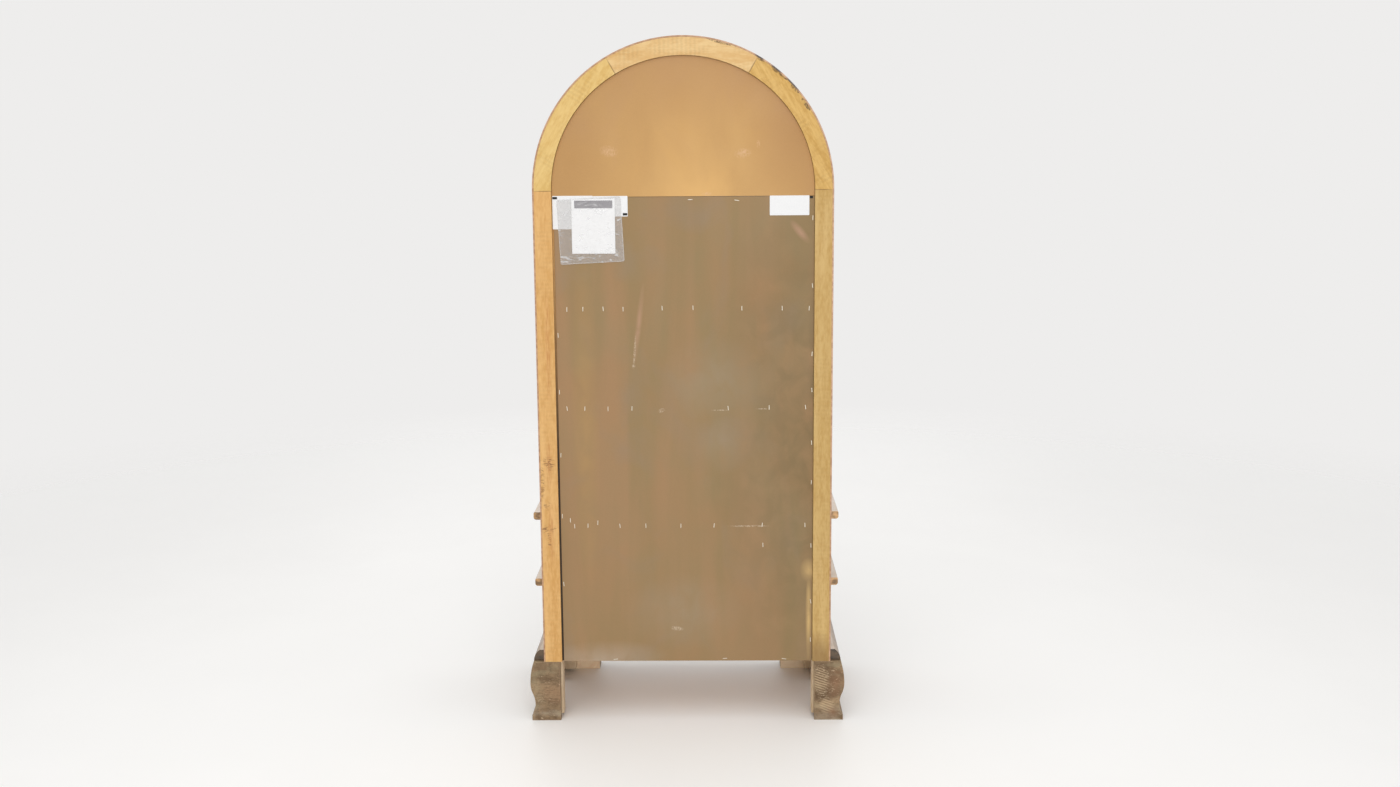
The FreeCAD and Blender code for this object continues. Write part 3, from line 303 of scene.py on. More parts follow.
def carved_foot_wood(name, raw_inside, rasped=()):
    """Hardwood brackets shaped on a spindle, stained grey-brown and scrubbed back: rings that swirl where
    the curve cuts them, grey grime, dark pores, rubbed crests and pale kicks near the floor. The insides of
    the front feet stay raw. The back feet have redder bare spots, and pale tooth lines in rasped ovals."""
    material, tree, place = start_material(name)
    grained = along_grain(tree, place, "level", (60, 330, 0))
    rings = growth_rings(tree, grained, spacing=19)
    spots = add(tree, "Mapping", {"Vector": place, "Scale": per_mm(48, 48, 60)})
    tone = add(tree, "TexNoise", {"Vector": spots, "Scale": 1, "Detail": 5, "Distortion": 1.2})
    spots = add(tree, "Mapping", {"Vector": place, "Scale": per_mm(8, 8, 3.2)})
    pores = add(tree, "TexNoise", {"Vector": spots, "Scale": 1, "Detail": 4, "Distortion": 1})
    spots = add(tree, "Mapping", {"Vector": place, "Scale": per_mm(60, 60, 26)})
    grime = add(tree, "TexNoise", {"Vector": spots, "Scale": 1, "Detail": 4})
    spread = add(tree, "MapRange", {"Value": tone, "From Min": 0.34, "From Max": 0.66, "To Max": 0.6})
    share = add(tree, "Math", {0: rings, 1: 0.5, 2: spread}, operation="MULTIPLY_ADD")
    colour = add(tree, "Mix", {"Factor": share, "A": "#a68b68", "B": "#664e34"}, data_type="RGBA")
    for pattern, most, layer in ((pores, 0.7, "#523f2a"), (grime, 0.5, "#8f8567")):
        share = add(tree, "MapRange", {"Value": pattern, "From Min": 0.5, "From Max": 0.7, "To Max": most})
        colour = add(tree, "Mix", {"Factor": share, "A": colour, "B": layer}, data_type="RGBA")
    flecks = add(tree, "MapRange", {"Value": pores, "From Min": 0.44, "From Max": 0.3, "To Max": 0.9})
    where = add(tree, "MapRange", {"Value": tone, "From Min": 0.5, "From Max": 0.62})
    share = add(tree, "Math", {0: flecks, 1: where}, operation="MULTIPLY")
    colour = add(tree, "Mix", {"Factor": share, "A": colour, "B": "#d0bb9b"}, data_type="RGBA")
    where = add(tree, "MapRange", {"Value": tone, "From Min": 0.42, "From Max": 0.56, "To Max": 0.6})
    rubbed = add(tree, "Math", {0: edge_share(tree, radius=5), 1: where}, operation="MULTIPLY")
    colour = add(tree, "Mix", {"Factor": rubbed, "A": colour, "B": "#bfa280"}, data_type="RGBA")
    height = add(tree, "SeparateXYZ", {"Vector": place}).outputs["Z"]
    inputs = {"Value": height, "From Min": KICK_HEIGHT * MM, "From Max": 0, "To Max": 0.6}
    low = add(tree, "MapRange", inputs)
    where = add(tree, "MapRange", {"Value": grime, "From Min": 0.4, "From Max": 0.6})
    kicked = add(tree, "Math", {0: low, 1: where}, operation="MULTIPLY")
    colour = add(tree, "Mix", {"Factor": kicked, "A": colour, "B": "#b9ad98"}, data_type="RGBA")

    if rasped:
        where = add(tree, "MapRange", {"Value": tone, "From Min": 0.3, "From Max": 0.6, "To Max": 0.7})
        bare = add(tree, "Math", {0: patches(tree, place, FOOT_BARE), 1: where}, operation="MULTIPLY")
        colour = add(tree, "Mix", {"Factor": bare, "A": colour, "B": "#8a6447"}, data_type="RGBA")
        leaned = add(tree, "Mapping", {"Vector": place, "Rotation": (0, math.radians(RASP_LEAN), 0)})
        inputs = {"Vector": leaned, "Scale": WAVE_LENGTH / (RASP_SPACING * MM), "Distortion": 1.5}
        teeth = add(tree, "TexWave", inputs, wave_type="BANDS", bands_direction="Z").outputs["Fac"]
        where = patches(tree, place, rasped)
        where = add(tree, "MapRange", {"Value": where, "From Min": 0, "From Max": 0.5, "To Max": 0.6})
        bitten = add(tree, "Math", {0: where, 1: teeth}, operation="MULTIPLY")
        colour = add(tree, "Mix", {"Factor": bitten, "A": colour, "B": "#cbb18d"}, data_type="RGBA")
    if raw_inside:
        share = add(tree, "MapRange", {"Value": tone, "From Min": 0.4, "From Max": 0.62})
        raw = add(tree, "Mix", {"Factor": share, "A": "#f4dfc0", "B": "#e8c9a6"}, data_type="RGBA")
        inside = add(tree, "Math", {0: facing_back(tree), 1: 0.7}, operation="GREATER_THAN")
        colour = add(tree, "Mix", {"Factor": inside, "A": colour, "B": raw}, data_type="RGBA")

    rough = add(tree, "MapRange", {"Value": tone, "From Min": -1.5, "From Max": 1.3})
    height = add(tree, "Math", {0: tone, 1: pores}, operation="SUBTRACT")
    rounded = add(tree, "Bevel", {"Radius": 2 * MM}, samples=4)
    bump = add(tree, "Bump", {"Height": height, "Distance": 0.4 * MM, "Strength": 1, "Normal": rounded})
    return finish_material(material, {"Base Color": colour, "Roughness": rough, "Normal": bump})


def back_board(name, tones, streaks, cloud_size, marks, mark_colour, glows):
    """Thin pressed fibre board, lacquered thin on a roller: soft streaks and clouds of olive, pink and grey
    brown, a low sheen, and on its back pale rubs and scratches. Glows are wide ovals of another tone: some
    are the board's own tone, and some are painted light: painted highlight, painted shade and painted
    reflection."""
    olive, pink, grey = tones
    material, tree, place = start_material(name)
    spots = add(tree, "Mapping", {"Vector": place, "Scale": per_mm(95, 400, 900)})
    streak = add(tree, "TexNoise", {"Vector": spots, "Scale": 1, "Detail": 4, "Distortion": 0.5})
    spots = add(tree, "Mapping", {"Vector": place, "Scale": per_mm(110, 400, 170)})
    mottle = add(tree, "TexNoise", {"Vector": spots, "Scale": 1, "Detail": 5, "Distortion": 0.4})
    spots = add(tree, "Mapping", {"Vector": place, "Scale": per_mm(190, 400, 240)})
    cloud = add(tree, "TexNoise", {"Vector": spots, "Scale": 1, "Detail": 5, "Distortion": 0.6})
    spots = add(tree, "Mapping", {"Vector": place, "Scale": per_mm(3.5, 3.5, 3.5)})
    fibre = add(tree, "TexNoise", {"Vector": spots, "Scale": 1, "Detail": 4})
    lines = add(tree, "MapRange", {"Value": streak, "From Min": 0.36, "From Max": 0.64})
    spread = add(tree, "MapRange", {"Value": mottle, "From Min": 0.3, "From Max": 0.7, "To Max": 0.4})
    share = add(tree, "Math", {0: lines, 1: streaks, 2: spread}, operation="MULTIPLY_ADD")
    colour = add(tree, "Mix", {"Factor": share, "A": olive, "B": pink}, data_type="RGBA")
    share = add(tree, "MapRange", {"Value": cloud, "From Min": 0.5, "From Max": 0.68, "To Max": 0.6})
    colour = add(tree, "Mix", {"Factor": share, "A": colour, "B": grey}, data_type="RGBA")
    share = add(tree, "Math", {0: fibre, 1: 0.16}, operation="MULTIPLY")
    colour = add(tree, "Mix", {"Factor": share, "A": colour, "B": "#6d5438"}, data_type="RGBA")

    sizes = (cloud_size, 400, cloud_size * 1.3)
    spots = add(tree, "Mapping", {"Vector": place, "Scale": per_mm(*sizes)})
    ragged = add(tree, "TexNoise", {"Vector": spots, "Scale": 1, "Detail": 6, "Distortion": 0.5})
    ragged = add(tree, "MapRange", {"Value": ragged, "From Min": 0.1, "From Max": 0.62})
    for ovals, glow_colour, strength in glows:
        glow = add(tree, "Math", {0: patches(tree, place, ovals), 1: strength}, operation="MULTIPLY")
        glow = add(tree, "Math", {0: glow, 1: ragged}, operation="MULTIPLY")
        colour = add(tree, "Mix", {"Factor": glow, "A": colour, "B": glow_colour}, data_type="RGBA")

    spots = add(tree, "Mapping", {"Vector": place, "Scale": per_mm(4, 4, 5)})
    broken = add(tree, "TexNoise", {"Vector": spots, "Scale": 1, "Detail": 5, "Distortion": 1})
    broken = add(tree, "MapRange", {"Value": broken, "From Min": 0.4, "From Max": 0.66, "To Max": 0.6})
    rub = patches(tree, place, marks)
    rub = add(tree, "MapRange", {"Value": rub, "From Min": 0, "From Max": 0.6})
    backward = add(tree, "Math", {0: facing_back(tree), 1: 0.5}, operation="GREATER_THAN")
    for limit in (broken, backward):
        rub = add(tree, "Math", {0: rub, 1: limit}, operation="MULTIPLY")
    colour = add(tree, "Mix", {"Factor": rub, "A": colour, "B": mark_colour}, data_type="RGBA")

    rough = add(tree, "MapRange", {"Value": mottle, "From Min": -0.9, "From Max": 1.5})
    rounded = add(tree, "Bevel", {"Radius": 0.8 * MM}, samples=4)
    bump = add(tree, "Bump", {"Height": fibre, "Distance": 0.05 * MM, "Strength": 1, "Normal": rounded})
    return finish_material(material, {"Base Color": colour, "Roughness": rough, "Normal": bump})


def pane_glass(name):
    """Clear float glass: no colour of its own, a faint green in its depth, and sharp reflections."""
    material, tree, place = start_material(name)
    spots = add(tree, "Mapping", {"Vector": place, "Scale": per_mm(180, 180, 240)})
    haze = add(tree, "TexNoise", {"Vector": spots, "Scale": 1, "Detail": 3})
    rough = add(tree, "MapRange", {"Value": haze, "From Min": 0.4, "From Max": 14})
    clear = {"Base Color": "#f2f8f5", "Transmission Weight": 1, "IOR": 1.5}
    return finish_material(material, {"Roughness": rough, **clear})


def aged_brass(name):
    """Cast brass gone brown: warm metal on the rubbed edges, and dark tarnish in spots."""
    material, tree, place = start_material(name)
    spots = add(tree, "Mapping", {"Vector": place, "Scale": per_mm(7, 7, 7)})
    tarnish = add(tree, "TexNoise", {"Vector": spots, "Scale": 1, "Detail": 5})
    spots = add(tree, "Mapping", {"Vector": place, "Scale": per_mm(1.2, 1.2, 1.2)})
    fine = add(tree, "TexNoise", {"Vector": spots, "Scale": 1, "Detail": 3})
    share = add(tree, "MapRange", {"Value": tarnish, "From Min": 0.38, "From Max": 0.66})
    colour = add(tree, "Mix", {"Factor": share, "A": "#a3814a", "B": "#5a4222"}, data_type="RGBA")
    share = add(tree, "Math", {0: edge_share(tree, radius=1.5), 1: 0.7}, operation="MULTIPLY")
    colour = add(tree, "Mix", {"Factor": share, "A": colour, "B": "#c9a765"}, data_type="RGBA")
    rough = add(tree, "MapRange", {"Value": tarnish, "From Min": -0.25, "From Max": 1.5})
    rounded = add(tree, "Bevel", {"Radius": 0.6 * MM}, samples=4)
    bump = add(tree, "Bump", {"Height": fine, "Distance": 0.03 * MM, "Strength": 1, "Normal": rounded})
    shader = {"Base Color": colour, "Roughness": rough, "Normal": bump, "Metallic": 1}
    return finish_material(material, shader)


def moulded_plastic(name):
    """Brown ABS from a mould: even, with a fine spark-eroded grain that keeps it from shining."""
    material, tree, place = start_material(name)
    spots = add(tree, "Mapping", {"Vector": place, "Scale": per_mm(0.9, 0.9, 0.9)})
    grain = add(tree, "TexNoise", {"Vector": spots, "Scale": 1, "Detail": 2})
    spots = add(tree, "Mapping", {"Vector": place, "Scale": per_mm(14, 14, 14)})
    cloudy = add(tree, "TexNoise", {"Vector": spots, "Scale": 1, "Detail": 3})
    colour = add(tree, "Mix", {"Factor": cloudy, "A": "#3b2a1d", "B": "#4a3626"}, data_type="RGBA")
    rough = add(tree, "MapRange", {"Value": grain, "From Min": -0.8, "From Max": 1.6})
    rounded = add(tree, "Bevel", {"Radius": 0.6 * MM}, samples=4)
    bump = add(tree, "Bump", {"Height": grain, "Distance": 0.04 * MM, "Strength": 1, "Normal": rounded})
    return finish_material(material, {"Base Color": colour, "Roughness": rough, "Normal": bump})


def clear_film(name):
    """Thin polythene of a document pouch: see-through, greyish, with a paler welded rim and painted
    highlights where it is creased.
    """
    material, tree, place = start_material(name)
    spots = add(tree, "Mapping", {"Vector": place, "Scale": per_mm(40, 40, 14)})
    creases = add(tree, "TexNoise", {"Vector": spots, "Scale": 1, "Detail": 4, "Distortion": 1.5})
    inputs = {
        "Vector": place,
        "Location": (POUCH_MIDDLE[0] * MM, PANEL_FACE * MM, POUCH_MIDDLE[1] * MM),
        "Rotation": (0, math.radians(POUCH_LEAN), 0),
        "Scale": (POUCH_SIDES[0] / 2 * MM, 1, POUCH_SIDES[1] / 2 * MM),
    }
    near = add(tree, "Mapping", inputs, vector_type="TEXTURE")
    parts = add(tree, "SeparateXYZ", {"Vector": near}).outputs
    across = add(tree, "Math", {0: parts["X"]}, operation="ABSOLUTE")
    upright = add(tree, "Math", {0: parts["Z"]}, operation="ABSOLUTE")
    reach = add(tree, "Math", {0: across, 1: upright}, operation="MAXIMUM")
    weld = add(tree, "MapRange", {"Value": reach, "From Min": 0.955, "From Max": 1.09})
    # Painted highlights: the film is paler and less clear along its creases.
    crease_highlight = add(tree, "MapRange", {"Value": creases, "From Min": 0.58, "From Max": 0.76})
    weld_and_crease_highlight = add(tree, "Math", {0: weld, 1: crease_highlight}, operation="MAXIMUM")
    colour = add(tree, "Mix", {"Factor": weld_and_crease_highlight, "A": "#d2cfcd", "B": "#f2f3f4"}, data_type="RGBA")
    alpha = add(tree, "MapRange", {"Value": weld_and_crease_highlight, "From Min": -0.5, "From Max": 2})
    bump = add(tree, "Bump", {"Height": creases, "Distance": 0.1 * MM, "Strength": 1})
    shader = {"Base Color": colour, "Alpha": alpha, "Normal": bump, "Roughness": 0.22, "IOR": 1.5}
    return finish_material(material, shader)


def paper(name, pale, dark, band=None):
    """Uncoated paper: matt, with faint fibre clouds. A band is a plain grey bar across the sheet."""
    material, tree, place = start_material(name)
    spots = add(tree, "Mapping", {"Vector": place, "Scale": per_mm(2.5, 2.5, 2.5)})
    fibre = add(tree, "TexNoise", {"Vector": spots, "Scale": 1, "Detail": 4})
    colour = add(tree, "Mix", {"Factor": fibre, "A": pale, "B": dark}, data_type="RGBA")
    if band:
        left, right, low, high = band
        parts = add(tree, "SeparateXYZ", {"Vector": place}).outputs
        inside = add(tree, "Math", {0: parts["X"], 1: left * MM}, operation="GREATER_THAN")
        limits = (("X", "LESS_THAN", right), ("Z", "GREATER_THAN", low), ("Z", "LESS_THAN", high))
        for side, operation, limit in limits:
            test = add(tree, "Math", {0: parts[side], 1: limit * MM}, operation=operation)
            inside = add(tree, "Math", {0: inside, 1: test}, operation="MULTIPLY")
        ink = add(tree, "Mix", {"Factor": fibre, "A": "#8f8c91", "B": "#7f7c82"}, data_type="RGBA")
        colour = add(tree, "Mix", {"Factor": inside, "A": colour, "B": ink}, data_type="RGBA")
    bump = add(tree, "Bump", {"Height": fibre, "Distance": 0.03 * MM, "Strength": 1})
    return finish_material(material, {"Base Color": colour, "Normal": bump, "Roughness": 0.75})


def galvanised_wire(name):
    """Zinc-coated steel wire: a pale grey metal, dull in patches."""
    material, tree, place = start_material(name)
    spots = add(tree, "Mapping", {"Vector": place, "Scale": per_mm(4, 4, 4)})
    dull = add(tree, "TexNoise", {"Vector": spots, "Scale": 1, "Detail": 3})
    colour = add(tree, "Mix", {"Factor": dull, "A": "#efe9db", "B": "#cfc8b8"}, data_type="RGBA")
    rough = add(tree, "MapRange", {"Value": dull, "From Min": -0.6, "From Max": 1.6})
    return finish_material(material, {"Base Color": colour, "Roughness": rough, "Metallic": 0.7})


def dress(node_name, material):
    """Gives a solid its one material."""
    nodes[node_name].data.materials.clear()
    nodes[node_name].data.materials.append(material)


# Marks on the raw frame, as ovals for patches, with their colours and the sizes of their spots.
SAW_SPACING = 11
STAIN_SIZES = (7, 7, 9)
STAIN_RUN = "#553c22"
FLECK_COLOUR = "#7a4f2b"
FLECK_SIZES = (14, 14, 5)
HEART_COLOUR = "#b3713c"
HEART_STREAKS = [(355, 700, 9, 90, 1), (353, 520, 10, 110, 0), (350, 1000, 9, 180, 0)]
POST_STAINS = [
    (356, 703, 18, 22, 0),
    (362, 712, 30, 3, 0),
    (375, 655, 9, 60, 0),
    (362, 590, 13, 14, 0),
    (364, 527, 22, 16, 0),
    (364, 530, 32, 3, 0),
    (358, 500, 7, 26, 0),
]
ARCH_STAINS = [
    (-158, 1747, 30, 4, 25),
    (-194, 1729, 20, 7, 31),
    (-233, 1702, 18, 8, 38),
    (-250, 1688, 24, 6, 42),
    (-281, 1655, 20, 7, 48),
    (-308, 1617, 28, 6, 56),
]
# Painted shade: an oval that darkens one post low down, near its foot, drawn with the joint lines.
FOOT_SHADE = [(-349, 150, 60, 110, 0)]
JOINT_LINES = [(174, 1708, 34, 2, 60), (-174, 1708, 34, 2, -60)]
JOINT_LINES += [(349, SPRING_HEIGHT, 34, 1.6, 0), (-349, SPRING_HEIGHT, 34, 1.6, 0)]
# Each length of raw timber has its own tone; the post at +X is painted paler than the one at -X, partly as
# painted light from that side. The arch's side pieces lean by 30 degrees.
RAW_PIECES = {
    "back_post_right": ("#deb171", "#c4904b", "upright", (-330, -190, 0), 0.1, POST_STAINS),
    "back_post_left": ("#cbaa6c", "#b08946", "upright", (395, -160, 0), 0.1, ()),
    "back_arch_right": ("#dfbf7b", "#c89f54", 30, (500, -190, -900), 0.15, ()),
    "back_arch_top": ("#dfbf88", "#cda162", "level", (1730, -170, 60), 0.2, [(-100, 1769, 60, 6, 14)]),
    "back_arch_left": ("#d8b168", "#b88c42", -30, (-1000, -190, 300), 0.2, ARCH_STAINS),
}
for node_name, (*look, stains) in RAW_PIECES.items():
    joint_lines_and_foot_shade = JOINT_LINES + FOOT_SHADE
    flecked = stains is POST_STAINS
    dress(node_name, sawn_wood(f"sawn_pine_{node_name}", *look, stains, joint_lines_and_foot_shade, flecked))

# Tones of the finish: the stain, the stain in pores and rings, and worn wood, also the painted highlight on
# the tops of the mouldings. A sawn end has the depth where it starts, and two tones.
OUTER_TONES = ("#8d6b4b", "#644931", "#d2b795")
RIM_SPOTS = [(-193, 1733, 16, 8, 30), (-236, 1704, 20, 8, 38), (-276, 1667, 26, 8, 46)]
SKIN_EDGE = (221.5, "#c09673", "#a47853")
MOULDING_END = (211.5, "#d0a169", "#7a5a34")
BASE_END = (211.5, "#5c472f", "#3f3020")
FINISHED = {
    "upright": ["front_post_left", "front_post_right", "door_right_hinge_stile", "door_left_hinge_stile"],
    "skin": ["side_skin_left", "side_skin_right"],
    "level": ["waist_rail", "drawer_rail", "base_rail", "drawer_upper_front", "drawer_lower_front"],
    "moulded": ["waist_moulding", "middle_moulding"],
    "base": ["base_moulding"],
    "arched": ["front_arch"],
    "bent": ["arch_skin"],
}
for side in ("right", "left"):
    FINISHED["upright"] += [f"door_{side}_meeting_stile", f"door_{side}_glazing_beads"]
    FINISHED["level"].append(f"door_{side}_bottom_rail")
    FINISHED["arched"].append(f"door_{side}_arch_rail")
FINISHES = {
    "upright": stained_wood("stained_hardwood_upright", "upright", (25, 260, 0), OUTER_TONES),
    "skin": stained_wood("stained_ply_upright", "upright", (25, 30, 0), OUTER_TONES, SKIN_EDGE),
    "level": stained_wood("stained_hardwood_level", "level", (240, 230, 0), OUTER_TONES),
    # The last number of each moulding is the share of painted highlight on its top faces.
    "moulded": stained_wood("stained_moulding", "level", (33, 260, 0), OUTER_TONES, MOULDING_END, 0.85),
    "base": stained_wood("stained_base_moulding", "level", (33, 260, 0), OUTER_TONES, BASE_END, 0.8),
    "arched": stained_wood("stained_hardwood_arched", "arched", (-330, 230, 0), OUTER_TONES),
    "bent": stained_wood("stained_ply_bent", "arched", (-360, 30, 0), OUTER_TONES, SKIN_EDGE, 0, RIM_SPOTS),
}
for finish, names in FINISHED.items():
    for node_name in names:
        dress(node_name, FINISHES[finish])

INNER_TONES = ("#93714f", "#6b4d33", "#b8956c")
inner_upright = stained_wood("stained_lining_upright", "upright", (20, 40, 0), INNER_TONES)
inner_level = stained_wood("stained_shelf_level", "level", (60, 120, 0), INNER_TONES)
inner_arched = stained_wood("stained_lining_arched", "arched", (-330, 40, 0), INNER_TONES)
raw_deep = sawn_wood("sawn_pine_rails", "#dfbd86", "#bf9558", "deep", (330, 420, 0))
block_pine = sawn_wood("sawn_pine_blocks", "#d8c3a4", "#bfa27c", "upright", (330, 420, 0))
drawer_pine = sawn_wood("planed_pine_drawers", "#e3c796", "#c9a268", "deep", (290, 380, 0), 0)
brass = aged_brass("aged_brass")
glass = pane_glass("float_glass")
PLAIN_FINISHES = {
    "side_linings": inner_upright,
    "arch_lining": inner_arched,
    "deck": inner_level,
    "bottom_panel": sawn_wood("sawn_pine_bottom", "#d2b08f", "#b6916f", "level", (60, 420, 0)),
    "shelf_lower": inner_level,
    "shelf_middle": inner_level,
    "shelf_upper": inner_level,
    "shelf_cleats": inner_level,
    "inner_rails": raw_deep,
    "foot_blocks": block_pine,
    "drawer_runners": drawer_pine,
    "drawer_upper_box": drawer_pine,
    "drawer_lower_box": drawer_pine,
    "door_catch": moulded_plastic("moulded_abs"),
    "hinges_on_posts": brass,
    "drawer_upper_knobs": brass,
    "drawer_lower_knobs": brass,
}
# Wear of the feet: how high kicks reach, the lines of the rasp and their slope, and ovals for patches.
KICK_HEIGHT = 45
RASP_SPACING, RASP_LEAN = 6.5, 20
FOOT_RASPS = [(-356, 112, 26, 46, 0), (-372, 40, 24, 24, 0)]
FOOT_BARE = [(-398, 100, 30, 70, 0), (-388, 25, 22, 30, 0), (350, 75, 60, 34, 10)]
front_foot_wood = carved_foot_wood("carved_front_foot_hardwood", True)
back_foot_wood = carved_foot_wood("carved_back_foot_hardwood", False, FOOT_RASPS)
for side in ("right", "left"):
    PLAIN_FINISHES[f"door_{side}_glass"] = glass
    PLAIN_FINISHES[f"door_{side}_knob"] = brass
    PLAIN_FINISHES[f"door_{side}_hinge_leaves"] = brass
    PLAIN_FINISHES[f"foot_front_{side}"] = front_foot_wood
    PLAIN_FINISHES[f"foot_back_{side}"] = back_foot_wood

# Rubs and scratches on the back panels, and wide glows: ovals, a tone and a strength. Some glows are the
# board's own tones, and some are painted light, as marked above them.
LOWER_MARKS = [
    (128, 995, 3.5, 50, 4.5),
    (131, 958, 5, 5, 0),
    (26, 254, 20, 7, 8),
    (-165, 533, 60, 3, 0),
    (60, 842, 12, 6, -20),
    (-92, 842, 26, 1.8, 0),
    (-202, 845, 22, 1.8, 0),
]
LOWER_GLOWS = [
    # Painted shade: the side of the lower panel at -X is darkened, as if the light fell from +X.
    ([(-380, 760, 350, 900, 0)], "#735f3a", 1.0),
    ([(258, 800, 38, 480, 0)], "#b08a52", 0.5),
    ([(345, 480, 90, 420, 0)], "#8a6f47", 0.6),
    ([(-80, 920, 140, 120, 20), (-100, 760, 80, 90, 0), (10, 300, 160, 110, 0)], "#9a8a72", 0.5),
    # Painted reflection: a pale grey haze of the floor along the bottom of the lower panel.
    ([(230, 166, 190, 55, -3)], "#b5a696", 0.5),
    ([(116, 1070, 9, 110, 7), (-296, 1300, 12, 40, -40)], "#c0937a", 0.6),
    ([(-322, 414, 24, 34, 0), (-323, 290, 9, 130, 0)], "#c4a268", 1.2),
]
UPPER_MARKS = [
    (186, 1504, 26, 16, 10),
    (-152, 1498, 24, 14, -10),
    (-190, 1520, 6, 12, 0),
    (-60, 1397, 14, 6, 0),
]
UPPER_GLOWS = [
    # Painted highlight: a pale pool low in the middle of the upper panel; the ovals under it make the panel
    # darker towards the top and towards the sides of the arch.
    ([(-40, 1400, 330, 330, 0)], "#d8aa67", 0.85),
    ([(0, 1790, 420, 250, 0)], "#ae835a", 0.6),
    ([(-290, 1540, 130, 190, 20)], "#a1764c", 0.6),
    ([(300, 1540, 110, 170, -20)], "#a67c50", 0.35),
]
PLAIN_FINISHES["back_panel_lower"] = back_board(
    "fibre_board_lower", ("#8b7449", "#a37c55", "#8f795e"), 0.5, 50, LOWER_MARKS, "#dcc8b0", LOWER_GLOWS
)
PLAIN_FINISHES["back_panel_upper"] = back_board(
    "fibre_board_upper", ("#b88c50", "#b98d59", "#b2875a"), 0.1, 190, UPPER_MARKS, "#d9b08c", UPPER_GLOWS
)
for node_name, finish in PLAIN_FINISHES.items():
    dress(node_name, finish)


def deselect():
    if bpy.context.object and bpy.context.object.mode != "OBJECT":
        bpy.ops.object.mode_set(mode="OBJECT")
    bpy.ops.object.select_all(action="DESELECT")


def begin(name, primitive, **given):
    """Adds a primitive, which becomes the active object of that name."""
    deselect()
    primitive(**given)
    piece = bpy.context.object
    piece.name = piece.data.name = name
    return piece


def settle(piece, material):
    """Puts a piece's place into its mesh, gives it a material, and fixes it to the case."""
    deselect()
    piece.select_set(True)
    bpy.context.view_layer.objects.active = piece
    bpy.ops.object.transform_apply(location=True, rotation=True, scale=True)
    piece.data.materials.clear()
    piece.data.materials.append(material)
    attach(piece, "case")
    return piece


def select(piece, test):
    """In edit mode, selects the vertices whose place in the mesh passes a test."""
    bpy.ops.mesh.select_all(action="DESELECT")
    bpy.ops.mesh.select_mode(type="VERT")
    bpy.ops.object.mode_set(mode="OBJECT")
    for vertex in piece.data.vertices:
        vertex.select = test(vertex.co)
    bpy.ops.object.mode_set(mode="EDIT")


def apply(piece, kind, **settings):
    """Adds a modifier and applies it."""
    modifier = piece.modifiers.new(kind.lower(), kind)
    for name, setting in settings.items():
        setattr(modifier, name, setting)
    bpy.ops.object.modifier_apply(modifier=modifier.name)


STAPLE_CROWN, STAPLE_WIRE, STAPLE_RISE, STAPLE_LEG, STAPLE_EDGE = 11.5, 1.5, 0.7, 3, 0.25
# A staple's place varies by these: how far it is sunk, how far it drifts, and how many degrees it turns.
STAPLE_SINK, STAPLE_DRIFT, STAPLE_TURN = 0.2, 1.5, 5
# Rows by height, with the places across, and the heights of the staples along the two edges.
STAPLE_ROWS = {
    1107: (300, 259, 207, 156, 56, -23, -148, -251, -320),
    848: (305, 259, 199, 137, -112, -218, -312),
    535: (292, 257, 173, 105, 13, -74, -200, -312),
}
STAPLE_STRAYS = [(303, 549), (231, 543), (-202, 482)]
LEVEL_STAPLES = [(-18, 1382), (-136, 1381), (190, 169), (-101, 169), (-258, 169)]
LEFT_EDGE, RIGHT_EDGE = 324, -328
LEFT_EDGE_STAPLES = (1038, 892, 725, 562, 377)
RIGHT_EDGE_STAPLES = (1335, 1165, 987, 894, 757, 651, 481, 328, 223)


